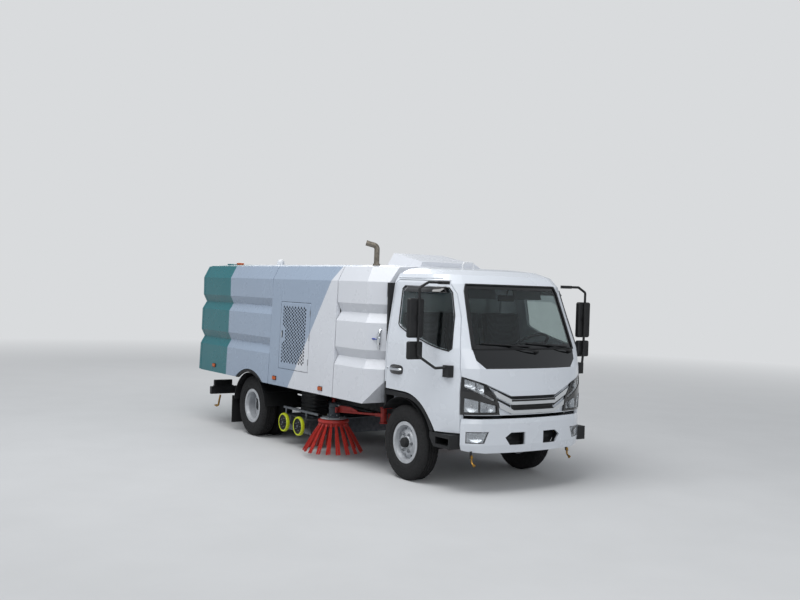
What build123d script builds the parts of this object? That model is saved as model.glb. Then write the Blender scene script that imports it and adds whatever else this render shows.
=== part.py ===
from build123d import *
import math
import os

# Small forward-control road sweeper truck. X points forward, Y to its left, Z up, in millimetres.
# The origin is on the ground, at the middle of the overall length and width.

# Driving dimensions
overall_length = 5800
front_overhang = 1037
wheelbase = 3308
tyre_radius = 388
tyre_width = 190
front_track = 1525
rear_track = 1520
twin_spacing = 232
rim_radius = 216
rim_bead_radius = 203
hub_bore = 72
hand_holes = 8
steel = 8

front_axle_x = overall_length / 2 - front_overhang
rear_axle_x = front_axle_x - wheelbase
tail_x = -overall_length / 2
nose_x = overall_length / 2

# Body shell: half width and height of each fold of the side, from the roof down
body_folds = [
    (600, 2226),
    (962, 2196),
    (1045, 2035),
    (1043, 1797),
    (994, 1699),
    (1055, 1598),
    (1060, 1309),
    (1012, 1213),
    (1068, 1111),
    (1080, 744),
]
# The flat part of the side has no grooves
flat_folds = [body_folds[i] for i in (0, 1, 2, 9)]
body_wall = 36
seam_gap = 10
tank_corner_angle = 45
tailgate_thickness = 55
body_rear_x = tail_x + tailgate_thickness + 8
groove_end_x = rear_axle_x + 662
seam_x = rear_axle_x + 2208
tank_corner_x = rear_axle_x + 2830
tank_front_x = rear_axle_x + 2985
body_floor_z = 885
floor_thickness = 30
skirt_z = body_folds[-1][1]
subframe_gap = 6
hopper_front_x = groove_end_x - seam_gap
# The hopper's arch over the rear wheels
arch_shift = 110
arch_radius = 640
arch_centre_z = 236
# The tailgate's hinges along the roof's rear edge
gate_pin_radius = 9
gate_sleeve_width = 70
gate_hinge_ys = (-640, 0, 640)
gate_hinge_z = 2222
gate_hinge_x = body_rear_x - 28
# The mesh doors of the engine bay
mesh_door_x0, mesh_door_x1 = rear_axle_x + 905, rear_axle_x + 1636
mesh_door_z0, mesh_door_z1 = 957, 1767
mesh_door_thickness = 24

# Chassis frame
rail_half_spacing = 375
rail_depth = 180
rail_flange = 62
rail_top_z = 720
rail_rear_x = tail_x + 220
rail_front_x = nose_x - 190
tip_pivot_x = tail_x + 193
tip_pivot_z = 770
pin_radius = 20
# Plates under the rails' noses, each with a bore for a towing pin
tow_eye_x = nose_x - 148
tow_eye_y = 336
tow_eye_half_width = 31
tow_eye_radius = 16
tow_eye_thickness = 20
pin_clearance = 0.05
ram_base = (tip_pivot_x + 424, tip_pivot_z - 424)
ram_eye = (tip_pivot_x + 398, tip_pivot_z + 42)
ram_y = 440
ram_lug_gap = 36
ram_pin_radius = 14
ram_sleeve_radius = 28
ram_barrel_radius = 38
ram_rod_radius = 24
kingpin_y = 655
outer_guard_y = 1010
guard_thickness = 8

# Bumper, and the outlines of its fog lamps and towing pockets in the front view
bumper_rows = [
    (402, 918, 595, 210, 772, 90, 600, 12, 0),
    (480, 930, 590, 200, 785, 80, 608, 0, 0),
    (690, 930, 590, 200, 785, 80, 608, 0, 0),
    (735, 922, 592, 206, 778, 86, 604, 8, 0),
]
bumper_thickness = 22
fog_outline = [(-745, 612), (-535, 612), (-580, 500), (-745, 500)]
hook_outline = [(-118, 600), (-290, 600), (-356, 552), (-300, 476), (-118, 476)]

# The cab's plan outline at each height. Columns: height, half width, then how far behind the
# foremost point the side ends, the corner's middle and its half width, the edge of the front
# and its half width, and the middle of the front, and last how far the rear wall leans in
cab_rear_x = front_axle_x - 278
cab_front_x = nose_x - 10
cab_rows = [
    (586, 915, 585, 205, 775, 85, 600, 15, 0),
    (775, 925, 585, 195, 785, 75, 610, 0, 0),
    (1000, 930, 585, 195, 790, 85, 620, 5, 0),
    (1220, 930, 595, 205, 785, 110, 630, 35, 0),
    (1410, 925, 615, 245, 775, 189, 676, 135, 0),
    (2040, 835, 735, 505, 730, 435, 613, 385, 0),
    (2130, 790, 815, 585, 690, 515, 580, 465, 15),
    (2182, 690, 935, 735, 610, 665, 500, 615, 50),
    (2205, 560, 1135, 935, 480, 865, 400, 815, 100),
]
cab_wall = 36
cab_floor_z = 800
cab_floor_thickness = 30
seat_hump_z = 1080
seat_hump_x = front_axle_x + 330
toe_step = (front_axle_x + 367, 930)
toe_board = (front_axle_x + 612, cab_floor_z)
wheel_arch_z = 925
wheel_arch = [(front_axle_x + 92, wheel_arch_z - 6), (front_axle_x + 392, 815), (front_axle_x + 580, 586)]
cab_pivot_x = nose_x - 165
cab_pivot_z = 700
door_gap = 6
sill_gap = 20
door_reach_y = 650
hinge_relief_radius = 66
rear_wall_z = 1000
door_front_x = front_axle_x + 830
door_rear_x = cab_rear_x + 18
door_hinge_x = door_front_x - 20
door_hinge_y = 800

# Wheels of the suction nozzle and the side brushes
nozzle_wheel_radius = 115
nozzle_wheel_z = 272
nozzle_wheel_y = 905
nozzle_wheel_xs = [rear_axle_x + 790, rear_axle_x + 1165]
nozzle_guide_xs = [rear_axle_x + 880, rear_axle_x + 1130]
nozzle_guide_y = 405
nozzle_guide_radius = 17
nozzle_duct_x = rear_axle_x + 1000
nozzle_duct_y = 600
brush_x = rear_axle_x + 1800
brush_y = 800
brush_plate_z = 420
brush_plate_radius = 180
brush_tip_radius = 350
brush_tip_z = 62
brush_tufts = 18
brush_arm_pivot_x = rear_axle_x + 2330
brush_arm_pivot_y = 460
brush_arm_z = 530
brush_post_z = (455, 600)
brush_pivot_radius = 20
brush_hinge_reach = 75
brush_hinge_radius = 10
brush_shaft_radius = 15
bracket_half_width = 45


def box(x0, x1, y0, y1, z0, z1):
    """A block between two corners."""
    centre = ((x0 + x1) / 2, (y0 + y1) / 2, (z0 + z1) / 2)
    return Pos(*centre) * Box(x1 - x0, y1 - y0, z1 - z0)


def side_prism(points, y0, y1):
    """An outline in the side view, extruded across the truck."""
    wire = Polyline(*[(x, y0, z) for x, z in points], close=True)
    return extrude(make_face(wire), amount=y1 - y0, dir=(0, 1, 0))


def front_prism(points, x0, x1):
    """An outline in the front view, extruded along the truck."""
    wire = Polyline(*[(x0, y, z) for y, z in points], close=True)
    return extrude(make_face(wire), amount=x1 - x0, dir=(1, 0, 0))


def rod(start, end, radius):
    """A round bar from one point to another."""
    axis = Vector(*end) - Vector(*start)
    plane = Plane(origin=start, z_dir=axis)
    return extrude(plane * Circle(radius), amount=axis.length)


def bent_rod(points, radius, bend):
    """A round bar along a bent line."""
    line = FilletPolyline(*points, radius=bend)
    return sweep(Plane(origin=line @ 0, z_dir=line % 0) * Circle(radius), path=line)


def across(x, z, radius, y0, y1):
    """A round bar across the truck."""
    return rod((x, y0, z), (x, y1, z), radius)


def fuse(pieces):
    """One shape from a list of pieces."""
    first, *rest = pieces
    return first.fuse(*rest) if rest else first


def left_of(shape):
    """The mirror image on the other side of the truck."""
    return mirror(shape, about=Plane.XZ)


def both(shape):
    """A right-hand piece and its mirror image, in one shape."""
    return Compound(children=[*shape.solids(), *left_of(shape).solids()])


def section(folds, floor_z, inset=0):
    """The body's closed outline in the front view, from its folds."""
    half = [(w - inset, z - inset) for w, z in folds[:-1]] + [(folds[-1][0] - inset, floor_z)]
    return [(w, z) for w, z in half] + [(-w, z) for w, z in reversed(half)]


# Chassis


def chassis_frame():
    """Two channel rails with cross members and the hinge lugs of the hopper."""
    low = rail_top_z - rail_depth
    outer, inner = rail_half_spacing, rail_half_spacing - rail_flange
    rail = box(rail_rear_x, rail_front_x, -outer, -inner, low, rail_top_z)
    rail -= box(rail_rear_x - 1, rail_front_x + 1, -outer + steel, -inner + 1, low + steel, rail_top_z - steel)
    pieces = [rail, left_of(rail)]
    reach = outer - steel
    for x, drop in ((rail_rear_x + 60, 90), (rear_axle_x - 480, 90), (rear_axle_x + 480, 140), (rail_front_x - 60, 90)):
        pieces.append(across(x, rail_top_z - drop, 38, -reach, reach))
    lug = side_prism(
        [
            (rail_rear_x, rail_top_z - 40),
            (rail_rear_x + 90, rail_top_z - 40),
            (rail_rear_x + 60, tip_pivot_z + 30),
            (tip_pivot_x - 30, tip_pivot_z + 30),
            (tip_pivot_x - 30, tip_pivot_z - 30),
        ],
        -inner,
        -inner + 22,
    )
    pin = across(tip_pivot_x, tip_pivot_z, pin_radius, -inner - 45, -inner)
    fittings = [lug, pin, ram_foot()]
    pieces += fittings
    pieces += [left_of(piece) for piece in fittings]
    return fuse(pieces)


def tow_eye():
    """A round-ended plate under the right-hand rail's nose, bored for a towing pin that goes in from below."""
    high = rail_top_z - rail_depth
    low = high - tow_eye_thickness
    x, y = tow_eye_x, -tow_eye_y
    plate = box(x - 190, x, y - tow_eye_half_width, y + tow_eye_half_width, low, high)
    plate += rod((x, y, low), (x, y, high), tow_eye_half_width)
    return plate - rod((x, y, low - 1), (x, y, high + 1), tow_eye_radius)


def leaf_spring(axle_x, axle_z, y, length, leaves, thickness, width):
    """A pack of leaves, each shorter than the one above, under one rail."""
    pieces = []
    for i in range(leaves):
        half = length / 2 * (1 - 0.16 * i)
        z = axle_z - i * thickness
        pieces.append(box(axle_x - half, axle_x + half, y - width / 2, y + width / 2, z - thickness, z))
    for end in (-1, 1):
        x = axle_x + end * (length / 2 - 14)
        foot = rail_top_z - rail_depth
        pieces.append(box(x - 14, x + 14, y - width / 2, y + width / 2, axle_z - 1, foot))
    return fuse(pieces)


def front_axle():
    """A dropped beam on two leaf springs, with the eyes of its kingpins."""
    beam_z = tyre_radius - 50
    half = kingpin_y - 26
    beam = box(front_axle_x - 40, front_axle_x + 40, -half, half, beam_z - 40, beam_z + 30)
    web = box(front_axle_x + 14, front_axle_x + 41, -half + 60, half - 60, beam_z - 22, beam_z + 12)
    pieces = [beam - web - mirror(web, about=Plane(origin=(front_axle_x, 0, 0), z_dir=(1, 0, 0)))]
    for side in (-1, 1):
        spring = leaf_spring(front_axle_x, beam_z + 30 + 3 * 12, side * 345, 1050, 3, 12, 60)
        pieces.append(spring)
        eye = rod((front_axle_x, side * kingpin_y, beam_z - 45), (front_axle_x, side * kingpin_y, beam_z + 35), 36)
        pieces.append(eye - rod((front_axle_x, side * kingpin_y, beam_z - 50),
                                (front_axle_x, side * kingpin_y, beam_z + 40), 17))
    return fuse(pieces)


def knuckle():
    """The right-hand stub axle, with its fork round the beam's eye."""
    beam_z = tyre_radius - 50
    pin = rod((front_axle_x, -kingpin_y, beam_z - 75), (front_axle_x, -kingpin_y, beam_z + 75), 16.95)
    fork = box(front_axle_x - 34, front_axle_x + 34, -kingpin_y - 62, -kingpin_y + 24, beam_z + 37, beam_z + 75)
    low_fork = box(front_axle_x - 34, front_axle_x + 34, -kingpin_y - 62, -kingpin_y + 24, beam_z - 75, beam_z - 47)
    back = box(front_axle_x - 34, front_axle_x + 34, -kingpin_y - 62, -kingpin_y - 40, beam_z - 75, beam_z + 75)
    stub = across(front_axle_x, tyre_radius, 30, -front_track / 2 - 40, -kingpin_y - 45)
    drum = across(front_axle_x, tyre_radius, 150, -kingpin_y - 90, -kingpin_y - 62)
    arm = box(front_axle_x - 190, front_axle_x - 30, -kingpin_y - 20, -kingpin_y + 14, beam_z - 74, beam_z - 52)
    return fuse([pin, fork, low_fork, back, stub, drum, arm])


def rear_axle():
    """The banjo housing on its leaf springs, with a brake drum at each end."""
    end = rear_track / 2 - twin_spacing / 2 - 60
    pieces = [across(rear_axle_x, tyre_radius, 55, -end, end)]
    pieces.append(Pos(rear_axle_x, 60, tyre_radius) * Rot(90, 0, 0) * Cylinder(155, 150))
    for side in (-1, 1):
        pieces.append(leaf_spring(rear_axle_x, tyre_radius + 54 + 5 * 13, side * 345, 1150, 5, 13, 60))
        spindle = across(rear_axle_x, tyre_radius, 34, side * (end - 1), side * (rear_track / 2 + 60))
        pieces.append(spindle)
    return fuse(pieces)


def driveline():
    """Engine, gearbox and propeller shaft, as plain blocks of the real sizes."""
    engine = box(front_axle_x - 310, front_axle_x + 250, -235, 235, 470, 985)
    gearbox = box(front_axle_x - 800, front_axle_x - 310, -150, 150, 480, 720)
    shaft = rod((front_axle_x - 800, 0, 570), (rear_axle_x + 170, 60, tyre_radius + 30), 40)
    return fuse([engine, gearbox, shaft])


# Wheels


def tyre(y):
    """A tyre whose middle is at y, with rounded shoulders and bulging walls."""
    half = tyre_width / 2
    bead = half - 22
    pts = [
        (rim_bead_radius, -bead),
        (rim_radius + 1, -bead),
        (rim_radius + 20, -half + 6),
        (rim_radius + 85, -half),
        (tyre_radius - 26, -half + 10),
        (tyre_radius, -half + 34),
        (tyre_radius + 0, half - 34),
        (tyre_radius - 26, half - 10),
        (rim_radius + 85, half),
        (rim_radius + 20, half - 6),
        (rim_radius + 1, bead),
        (rim_bead_radius, bead),
    ]
    outline = make_face(Polyline(*[(r, w, 0) for r, w in pts], close=True))
    wheel = revolve(outline, axis=Axis.Y)
    return Pos(0, y, 0) * wheel


def rim(y, dish):
    """A steel rim whose disc stands at dish from the middle, outwards where it is negative."""
    half = tyre_width / 2 - 22
    barrel = [
        (rim_bead_radius, -half + 14),
        (rim_bead_radius, -half),
        (rim_radius, -half),
        (rim_radius, -half - 6),
        (rim_bead_radius - 22, -half - 6),
        (rim_bead_radius - 34, -half + 30),
        (rim_bead_radius - 34, half - 30),
        (rim_bead_radius - 22, half + 6),
        (rim_radius, half + 6),
        (rim_radius, half),
        (rim_bead_radius, half),
        (rim_bead_radius, half - 14),
        (rim_bead_radius - 24, half - 30),
        (rim_bead_radius - 24, -half + 30),
    ]
    outline = make_face(Polyline(*[(r, w, 0) for r, w in barrel], close=True))
    ring = revolve(outline, axis=Axis.Y)
    s = 1 if dish > 0 else -1
    disc = [
        (hub_bore, dish),
        (105, dish),
        (122, dish - 14 * s),
        (rim_bead_radius - 28, dish - 44 * s),
        (rim_bead_radius - 28, dish - 54 * s),
        (118, dish - 24 * s),
        (101, dish - 10 * s),
        (hub_bore, dish - 10 * s),
    ]
    outline = make_face(Polyline(*[(r, w, 0) for r, w in disc], close=True))
    plate = revolve(outline, axis=Axis.Y)
    for i in range(hand_holes):
        a = math.radians(360 * (i + 0.5) / hand_holes)
        plate -= Pos(146 * math.cos(a), dish - 20 * s, 146 * math.sin(a)) * Rot(90, 0, 0) * Cylinder(15, 90)
    return Pos(0, y, 0) * fuse([ring, plate])


def front_hub():
    """The hub that carries the rim, round the stub axle."""
    y = -front_track / 2
    outline = [(30.3, 14), (hub_bore + 2, 14), (hub_bore + 2, -50), (58, -64), (0, -64), (0, -45), (30.3, -45)]
    face = make_face(Polyline(*[(r, w, 0) for r, w in outline], close=True))
    return Pos(0, y, 0) * revolve(face, axis=Axis.Y)


def rear_hub():
    """The rear hub between the two rims, closed at its outer end."""
    y = -rear_track / 2
    outline = [(34.3, 60), (hub_bore + 2, 60), (hub_bore + 2, -30), (62, -100), (0, -100), (0, -70), (34.3, -70)]
    face = make_face(Polyline(*[(r, w, 0) for r, w in outline], close=True))
    return Pos(0, y, 0) * revolve(face, axis=Axis.Y)


# Cab


def cab_outline(row, front_x, rear_x, inset):
    """One row's plan outline with rounded corners, set in all round by a thickness."""
    height, half, side_back, corner_back, corner_w, edge_back, edge_w, front_back, rear_in = row
    rear = rear_x + rear_in + inset
    side = (front_x - side_back, half - inset)
    corner = (front_x - corner_back - 0.6 * inset, corner_w - 0.8 * inset)
    edge = (front_x - edge_back - 0.93 * inset, edge_w - 0.35 * inset)
    front = front_x - front_back - inset
    return make_face([
        Line((rear, -side[1], height), (side[0], -side[1], height)),
        ThreePointArc((side[0], -side[1], height), (corner[0], -corner[1], height), (edge[0], -edge[1], height)),
        ThreePointArc((edge[0], -edge[1], height), (front, 0, height), (*edge, height)),
        ThreePointArc((*edge, height), (*corner, height), (*side, height)),
        Line((*side, height), (rear, side[1], height)),
        Line((rear, side[1], height), (rear, -side[1], height)),
    ])


def cab_solid(inset):
    """The cab's outer form, or the same form set in all round by a thickness."""
    faces = []
    for row in cab_rows:
        height = row[0] - inset * max(0.0, (row[0] - 2040) / 165)
        faces.append(cab_outline((height, *row[1:]), cab_front_x, cab_rear_x, inset))
    return loft(faces, ruled=True)


def door_outline():
    """The door's outline in the side view, with the wheel arch along its foot."""
    pts = [
        (door_front_x, 586),
        (door_front_x, 1150),
        (door_front_x - 38, 1390),
        (door_front_x - 133, 1710),
        (door_front_x - 228, 1940),
        (door_front_x - 318, 2068),
        (door_rear_x + 40, 2068),
        (door_rear_x, 2030),
        (door_rear_x, wheel_arch_z),
        wheel_arch[0],
    ]
    line = Polyline(*[(x, 0, z) for x, z in pts])
    arch = ThreePointArc(*[(x, 0, z) for x, z in wheel_arch])
    foot = Line((wheel_arch[-1][0], 0, 586), (door_front_x, 0, 586))
    return make_face([*line.edges(), arch, foot])


def below_floor(depth):
    """What lies under the cab's floor and seat hump, from a depth below their top."""
    back = [(cab_rear_x - 10, 0), (cab_rear_x - 10, seat_hump_z - depth)]
    steps = [(x - depth, z - depth) for x, z in ((seat_hump_x, seat_hump_z), toe_step, toe_board)]
    return side_prism([*back, *steps, (nose_x, cab_floor_z - depth), (nose_x, 0)], -1000, 1000)


def arch_opening():
    """The side's open part over the right-hand front wheel."""
    (x0, z0), (x1, z1), (x2, z2) = wheel_arch
    rear = cab_rear_x - 10
    arc = ThreePointArc((x0, 0, z0), (x1, 0, z1), (x2, 0, z2))
    top = wheel_arch_z + 4
    rest = Polyline((x2, 0, z2), (x2, 0, 500), (rear, 0, 500), (rear, 0, top), (x0, 0, top), (x0, 0, z0))
    return across_side(make_face([arc, *rest.edges()]), -1000, -600)


def door_window():
    """The side window's outline, whose sill falls towards the front."""
    pts = [
        (cab_rear_x + 220, 1585),
        (cab_rear_x + 370, 1530),
        (door_front_x - 128, 1385),
        (door_front_x - 106, 1410),
        (door_front_x - 182, 1720),
        (door_front_x - 265, 1945),
        (door_front_x - 300, 1990),
        (cab_rear_x + 200, 1998),
        (cab_rear_x + 165, 1970),
        (cab_rear_x + 185, 1610),
    ]
    return make_face(Polyline(*[(x, 0, z) for x, z in pts], close=True))


def across_side(face, y0, y1):
    """A face in the side view, extruded between two distances from the middle plane."""
    return extrude(Pos(0, y0, 0) * face, amount=y1 - y0, dir=(0, 1, 0))


def mirrored_outline(half):
    """A closed front-view outline from the points of its left-hand half."""
    return half + [(-y, z) for y, z in reversed(half)]


windscreen_outline = mirrored_outline([(664, 1412), (640, 1700), (612, 1960), (585, 2030)])
mask_outline = mirrored_outline([(560, 1220), (650, 1300), (668, 1408)])
lamp_outline = [(-1000, 1185), (-790, 1145), (-565, 1072), (-450, 925), (-425, 776), (-1000, 776)]
grille_outline = mirrored_outline([(425, 776), (450, 925), (565, 1072), (290, 955)])
upper_bar = mirrored_outline([(280, 870), (458, 948), (512, 1024), (285, 922)])
lower_bar = mirrored_outline([(280, 780), (424, 842), (436, 896), (262, 818)])
rear_window_outline = [(-600, 1560), (600, 1560), (600, 1940), (-600, 1940)]


def cab_layer(outside, inside, outline, x0, x1):
    """A layer of the cab's skin between two insets, within an outline in the front view."""
    prism = front_prism(outline, x0, x1)
    return (cab_solid(outside) & prism) - cab_solid(inside)


def cab_shell(outer, inner):
    """The hollow cab with its floor and seat hump, open at the doors, windows and wheel arches."""
    room = inner - below_floor(0)
    under = inner & below_floor(cab_floor_thickness)
    shell = outer - room - under
    opening = door_skin(door_outline(), outer, cab_solid(cab_wall + sill_gap), door_reach_y)
    x, y = door_hinge_x, -door_hinge_y
    hinge_relief = rod((x, y, cab_floor_z - 40), (x, y, cab_floor_z + 10), hinge_relief_radius)
    for cut in (opening, arch_opening(), hinge_relief):
        shell -= cut
        shell -= left_of(cut)
    shell -= box(cab_rear_x - 10, cab_rear_x + cab_wall + 10, -1000, 1000, 500, rear_wall_z)
    shell -= box(wheel_arch[-1][0] - 10, nose_x, -1000, 1000, 500, cab_floor_z - cab_floor_thickness)
    ahead = cab_front_x - 700
    shell -= front_prism(windscreen_outline, ahead, nose_x)
    shell -= front_prism(mask_outline, ahead + 300, nose_x)
    shell -= front_prism(lamp_outline, door_front_x - 2, nose_x)
    shell -= front_prism([(-y, z) for y, z in lamp_outline], door_front_x - 2, nose_x)
    shell -= front_prism(rear_window_outline, cab_rear_x - 10, cab_rear_x + cab_wall + 10)
    return shell - front_prism(grille_outline, ahead, nose_x)


def build_cab(outer, inner):
    """The cab's fixed pieces."""
    ahead = cab_front_x - 700
    glass = cab_layer(8, 15, windscreen_outline, ahead, nose_x)
    rear_glass = front_prism(rear_window_outline, cab_rear_x + 12, cab_rear_x + 18)
    frame = cab_layer(-4, cab_wall, lamp_outline, door_front_x + 4, nose_x)
    top_lens = front_prism([(-765, 1128), (-580, 1066), (-475, 930), (-480, 900), (-765, 1040)], door_front_x, nose_x)
    low_lens = front_prism([(-765, 945), (-500, 880), (-462, 870), (-458, 795), (-765, 795)], door_front_x, nose_x)
    lens = fuse([low_lens, top_lens])
    frame -= (cab_solid(-30) & lens) - cab_solid(14)
    lamps = (cab_solid(2) & lens) - cab_solid(14)
    fog = (bumper_solid(5) & front_prism(fog_outline, nose_x - 300, nose_x + 10)) - bumper_solid(bumper_thickness)
    bars = []
    for outline in (upper_bar, lower_bar):
        bars += cab_layer(-2, 22, outline, ahead, nose_x).solids()
    backing = cab_layer(22, 34, grille_outline, ahead, nose_x)
    return {
        "cab_shell": fuse([cab_shell(outer, inner), backing]),
        "cab_glass": Compound(children=[*glass.solids(), *rear_glass.solids()]),
        "windscreen_mask": cab_layer(1, cab_wall, mask_outline, ahead + 300, nose_x),
        "headlamp_frames": both(frame),
        "lamp_lenses": Compound(children=[*both(lamps).solids(), *both(fog).solids()]),
        "grille_bars": Compound(children=bars),
    }


def door_skin(outline, outer, inner, reach):
    """The part of the right-hand side wall within an outline, without the rear wall behind it."""
    return (outer & across_side(outline, -1000, -reach)) - inner - Pos(-cab_wall, 0, 0) * inner


def door(outer, inner):
    """The right-hand door, as thick as the cab's wall, with its window cut."""
    outline = offset(door_outline(), amount=-door_gap, kind=Kind.INTERSECTION)
    return door_skin(outline, outer, inner, door_reach_y + door_gap) - across_side(door_window(), -1000, -650)


def door_glass():
    """The right-hand door's pane."""
    return (cab_solid(12) & across_side(door_window(), -1000, -650)) - cab_solid(17)


def mirror_set():
    """The right-hand mirror arm, its two heads and its foot on the door."""
    x = door_front_x - 100
    arm_y = -1115
    foot = box(x - 45, x + 45, -905, -840, 1130, 1245)
    points = [
        (x, -880, 1225),
        (x - 60, -985, 1215),
        (x - 175, arm_y, 1330),
        (x - 175, arm_y, 1990),
        (x - 175, -1010, 2045),
        (x - 175, -842, 2045),
    ]
    arm = bent_rod(points, 13, 28)
    top_foot = box(x - 215, x - 135, -870, -780, 2028, 2060)
    head = box(x - 245, x - 185, arm_y - 105, arm_y + 75, 1500, 1885)
    head = fillet(head.edges(), 22)
    low_head = box(x - 240, x - 186, arm_y - 100, arm_y + 70, 1290, 1465)
    low_head = fillet(low_head.edges(), 18)
    clamp = box(x - 190, x - 160, arm_y - 20, arm_y + 20, 1660, 1720)
    low_clamp = box(x - 190, x - 160, arm_y - 20, arm_y + 20, 1400, 1440)
    return fuse([foot, arm, top_foot, head, low_head, clamp, low_clamp]) - cab_solid(0)


def dashboard():
    """Dashboard with its hood, steering column and wheel."""
    front = cab_front_x - 190
    body = side_prism(
        [(front - 330, 1180), (front - 300, 1330), (front - 120, 1375), (front + 20, 1340), (front + 60, 1180),
         (front - 60, 1000), (front - 250, 1020)], -690, 690)
    body &= cab_solid(cab_wall + 4)
    column = rod((front - 230, 420, 1230), (front - 365, 420, 1424), 30)
    wheel = Pos(front - 370, 420, 1430) * Rot(0, -35, 0) * Torus(190, 15)
    spoke = Pos(front - 370, 420, 1430) * Rot(0, -35, 0) * Box(40, 370, 18)
    return fuse([body, column, wheel, spoke])


def seats():
    """Three seat cushions and backs on the hump behind the front axle."""
    x = cab_rear_x + cab_wall + 12
    solids = []
    for y, w in ((-560, 480), (-60, 420), (480, 500)):
        cushion = box(x + 150, x + 580, y - w / 2, y + w / 2, seat_hump_z, seat_hump_z + 130)
        back = side_prism([(x + 150, seat_hump_z + 132), (x + 260, seat_hump_z + 132), (x + 130, 1740), (x + 30, 1740)],
                          y - w / 2, y + w / 2)
        solids += [*fillet(cushion.edges(), 28).solids(), *fillet(back.edges(), 24).solids()]
    return Compound(children=solids)


def cab_trim():
    """Black arch guards and steps below both doors."""
    start = (front_axle_x + 90, 0, 905)
    middle = (front_axle_x + 380, 0, 802)
    end = (front_axle_x + 562, 0, 586)
    outer_arc = ThreePointArc(start, middle, end)
    inner_arc = ThreePointArc(
        (end[0] - 60, 0, end[2]), (middle[0] - 34, 0, middle[2] - 32), (start[0], 0, start[2] - 45))
    lines = [
        outer_arc,
        Line(end, (end[0] - 60, 0, end[2])),
        inner_arc,
        Line((start[0], 0, start[2] - 45), (cab_rear_x + 2, 0, start[2] - 45)),
        Line((cab_rear_x + 2, 0, start[2] - 45), (cab_rear_x + 2, 0, start[2] + 8)),
        Line((cab_rear_x + 2, 0, start[2] + 8), start),
    ]
    guard = across_side(make_face(lines), -905, -560)
    step = side_prism(
        [(end[0] - 60, 578), (door_front_x - 2, 578), (door_front_x - 2, 440), (end[0] + 10, 440), (end[0] - 55, 520)],
        -905, -640)
    tread = box(end[0] + 40, door_front_x - 20, -906, -700, 470, 540)
    step -= tread
    return both(fuse([guard, step]))


# Sweeper body


def grooved(x0, x1, floor_z, folds=body_folds):
    """A length of the body's outer form, with the grooves along its sides."""
    return front_prism(section(folds, floor_z), x0, x1)


def room_outline(low):
    """The inside of the body in the front view, as wide as the deepest groove allows."""
    half, top = body_folds[4][0] - body_wall, body_folds[1][1] - body_wall
    return [(-half, low), (half, low), (half, top - 160), (half - 90, top), (-half + 90, top), (-half, top - 160)]


def hinge_pins(x, z, ys, width):
    """Pins between pairs of ears, with room for a sleeve between each pair."""
    pins = []
    for y in ys:
        pins.append(across(x, z, gate_pin_radius, y - width / 2 - 30, y + width / 2 + 30))
        for side in (-1, 1):
            edge = y + side * (width / 2 + 18)
            pins.append(box(x - 14, x + 60, edge - 8, edge + 8, z - 14, z + 14))
    return pins


def hopper_shell():
    """The hollow tipping hopper with grooved sides, its sub-frame, hinge lugs and ram lugs."""
    outer = grooved(body_rear_x, hopper_front_x, skirt_z)
    room = front_prism(room_outline(body_floor_z + floor_thickness), body_rear_x - 1, hopper_front_x - body_wall)
    skirt_half = body_folds[-1][0] - body_wall
    under = box(body_rear_x - 1, hopper_front_x + 1, -skirt_half, skirt_half, 700, body_floor_z)
    arch = Pos(rear_axle_x + arch_shift, 0, arch_centre_z) * Rot(90, 0, 0) * Cylinder(arch_radius, 3000)
    arch &= box(body_rear_x, hopper_front_x, -1500, 1500, 700, body_floor_z)
    shell = outer - room - under - arch
    inner = rail_half_spacing - rail_flange
    lug = box(tip_pivot_x - 32, tip_pivot_x + 50, -inner - 44, -inner - 6, tip_pivot_z - 32, body_floor_z + 1)
    lug -= across(tip_pivot_x, tip_pivot_z, pin_radius + pin_clearance, -inner - 60, -inner + 10)
    beam_low = rail_top_z + subframe_gap
    beam = box(tip_pivot_x + 140, hopper_front_x - 20, -inner - 50, -inner, beam_low, body_floor_z + 1)
    pieces = [shell, lug, beam, left_of(lug), left_of(beam)]
    eye_x, eye_z = ram_eye
    for y in (-ram_y - ram_lug_gap, -ram_y + ram_lug_gap, ram_y - ram_lug_gap, ram_y + ram_lug_gap):
        pieces.append(box(eye_x - 35, eye_x + 35, y - 7, y + 7, eye_z - 30, body_floor_z + 1))
    pieces += hinge_pins(gate_hinge_x, gate_hinge_z, gate_hinge_ys, gate_sleeve_width)
    return fuse(pieces)


def flat_side_y(z):
    """Half width of the flat side at a height."""
    (w1, z1), (w0, z0) = flat_folds[2], flat_folds[3]
    return w0 + (w1 - w0) * (z - z0) / (z1 - z0)


def engine_cover():
    """The fixed bay of the machine engine, with flat sides and an opening for each mesh door."""
    outer = grooved(groove_end_x, seam_x, skirt_z, flat_folds)
    half = body_folds[3][0] - body_wall
    top = body_folds[1][1] - body_wall
    room = [(-half, 700), (half, 700), (half, top - 160), (half - 120, top), (-half + 120, top), (-half, top - 160)]
    shell = outer - front_prism(room, groove_end_x + body_wall, seam_x + 1)
    for side in (-1, 1):
        y0, y1 = sorted((side * 900, side * 1200))
        shell -= box(mesh_door_x0, mesh_door_x1, y0, y1, mesh_door_z0, mesh_door_z1)
    shell -= box(groove_end_x - 1, groove_end_x + body_wall + 1, -rail_half_spacing - 60, rail_half_spacing + 60,
                 700, body_floor_z)
    inner = rail_half_spacing - rail_flange
    beam = box(groove_end_x + 120, seam_x, -inner - 50, -inner, rail_top_z, rail_top_z + 60)
    tie = box(groove_end_x + 120, groove_end_x + 180, -half - 2, half + 2, rail_top_z + 40, rail_top_z + 100)
    tie_front = box(seam_x - 80, seam_x - 20, -half - 2, half + 2, rail_top_z + 40, rail_top_z + 100)
    return fuse([shell, beam, left_of(beam), tie, tie_front])


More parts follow.
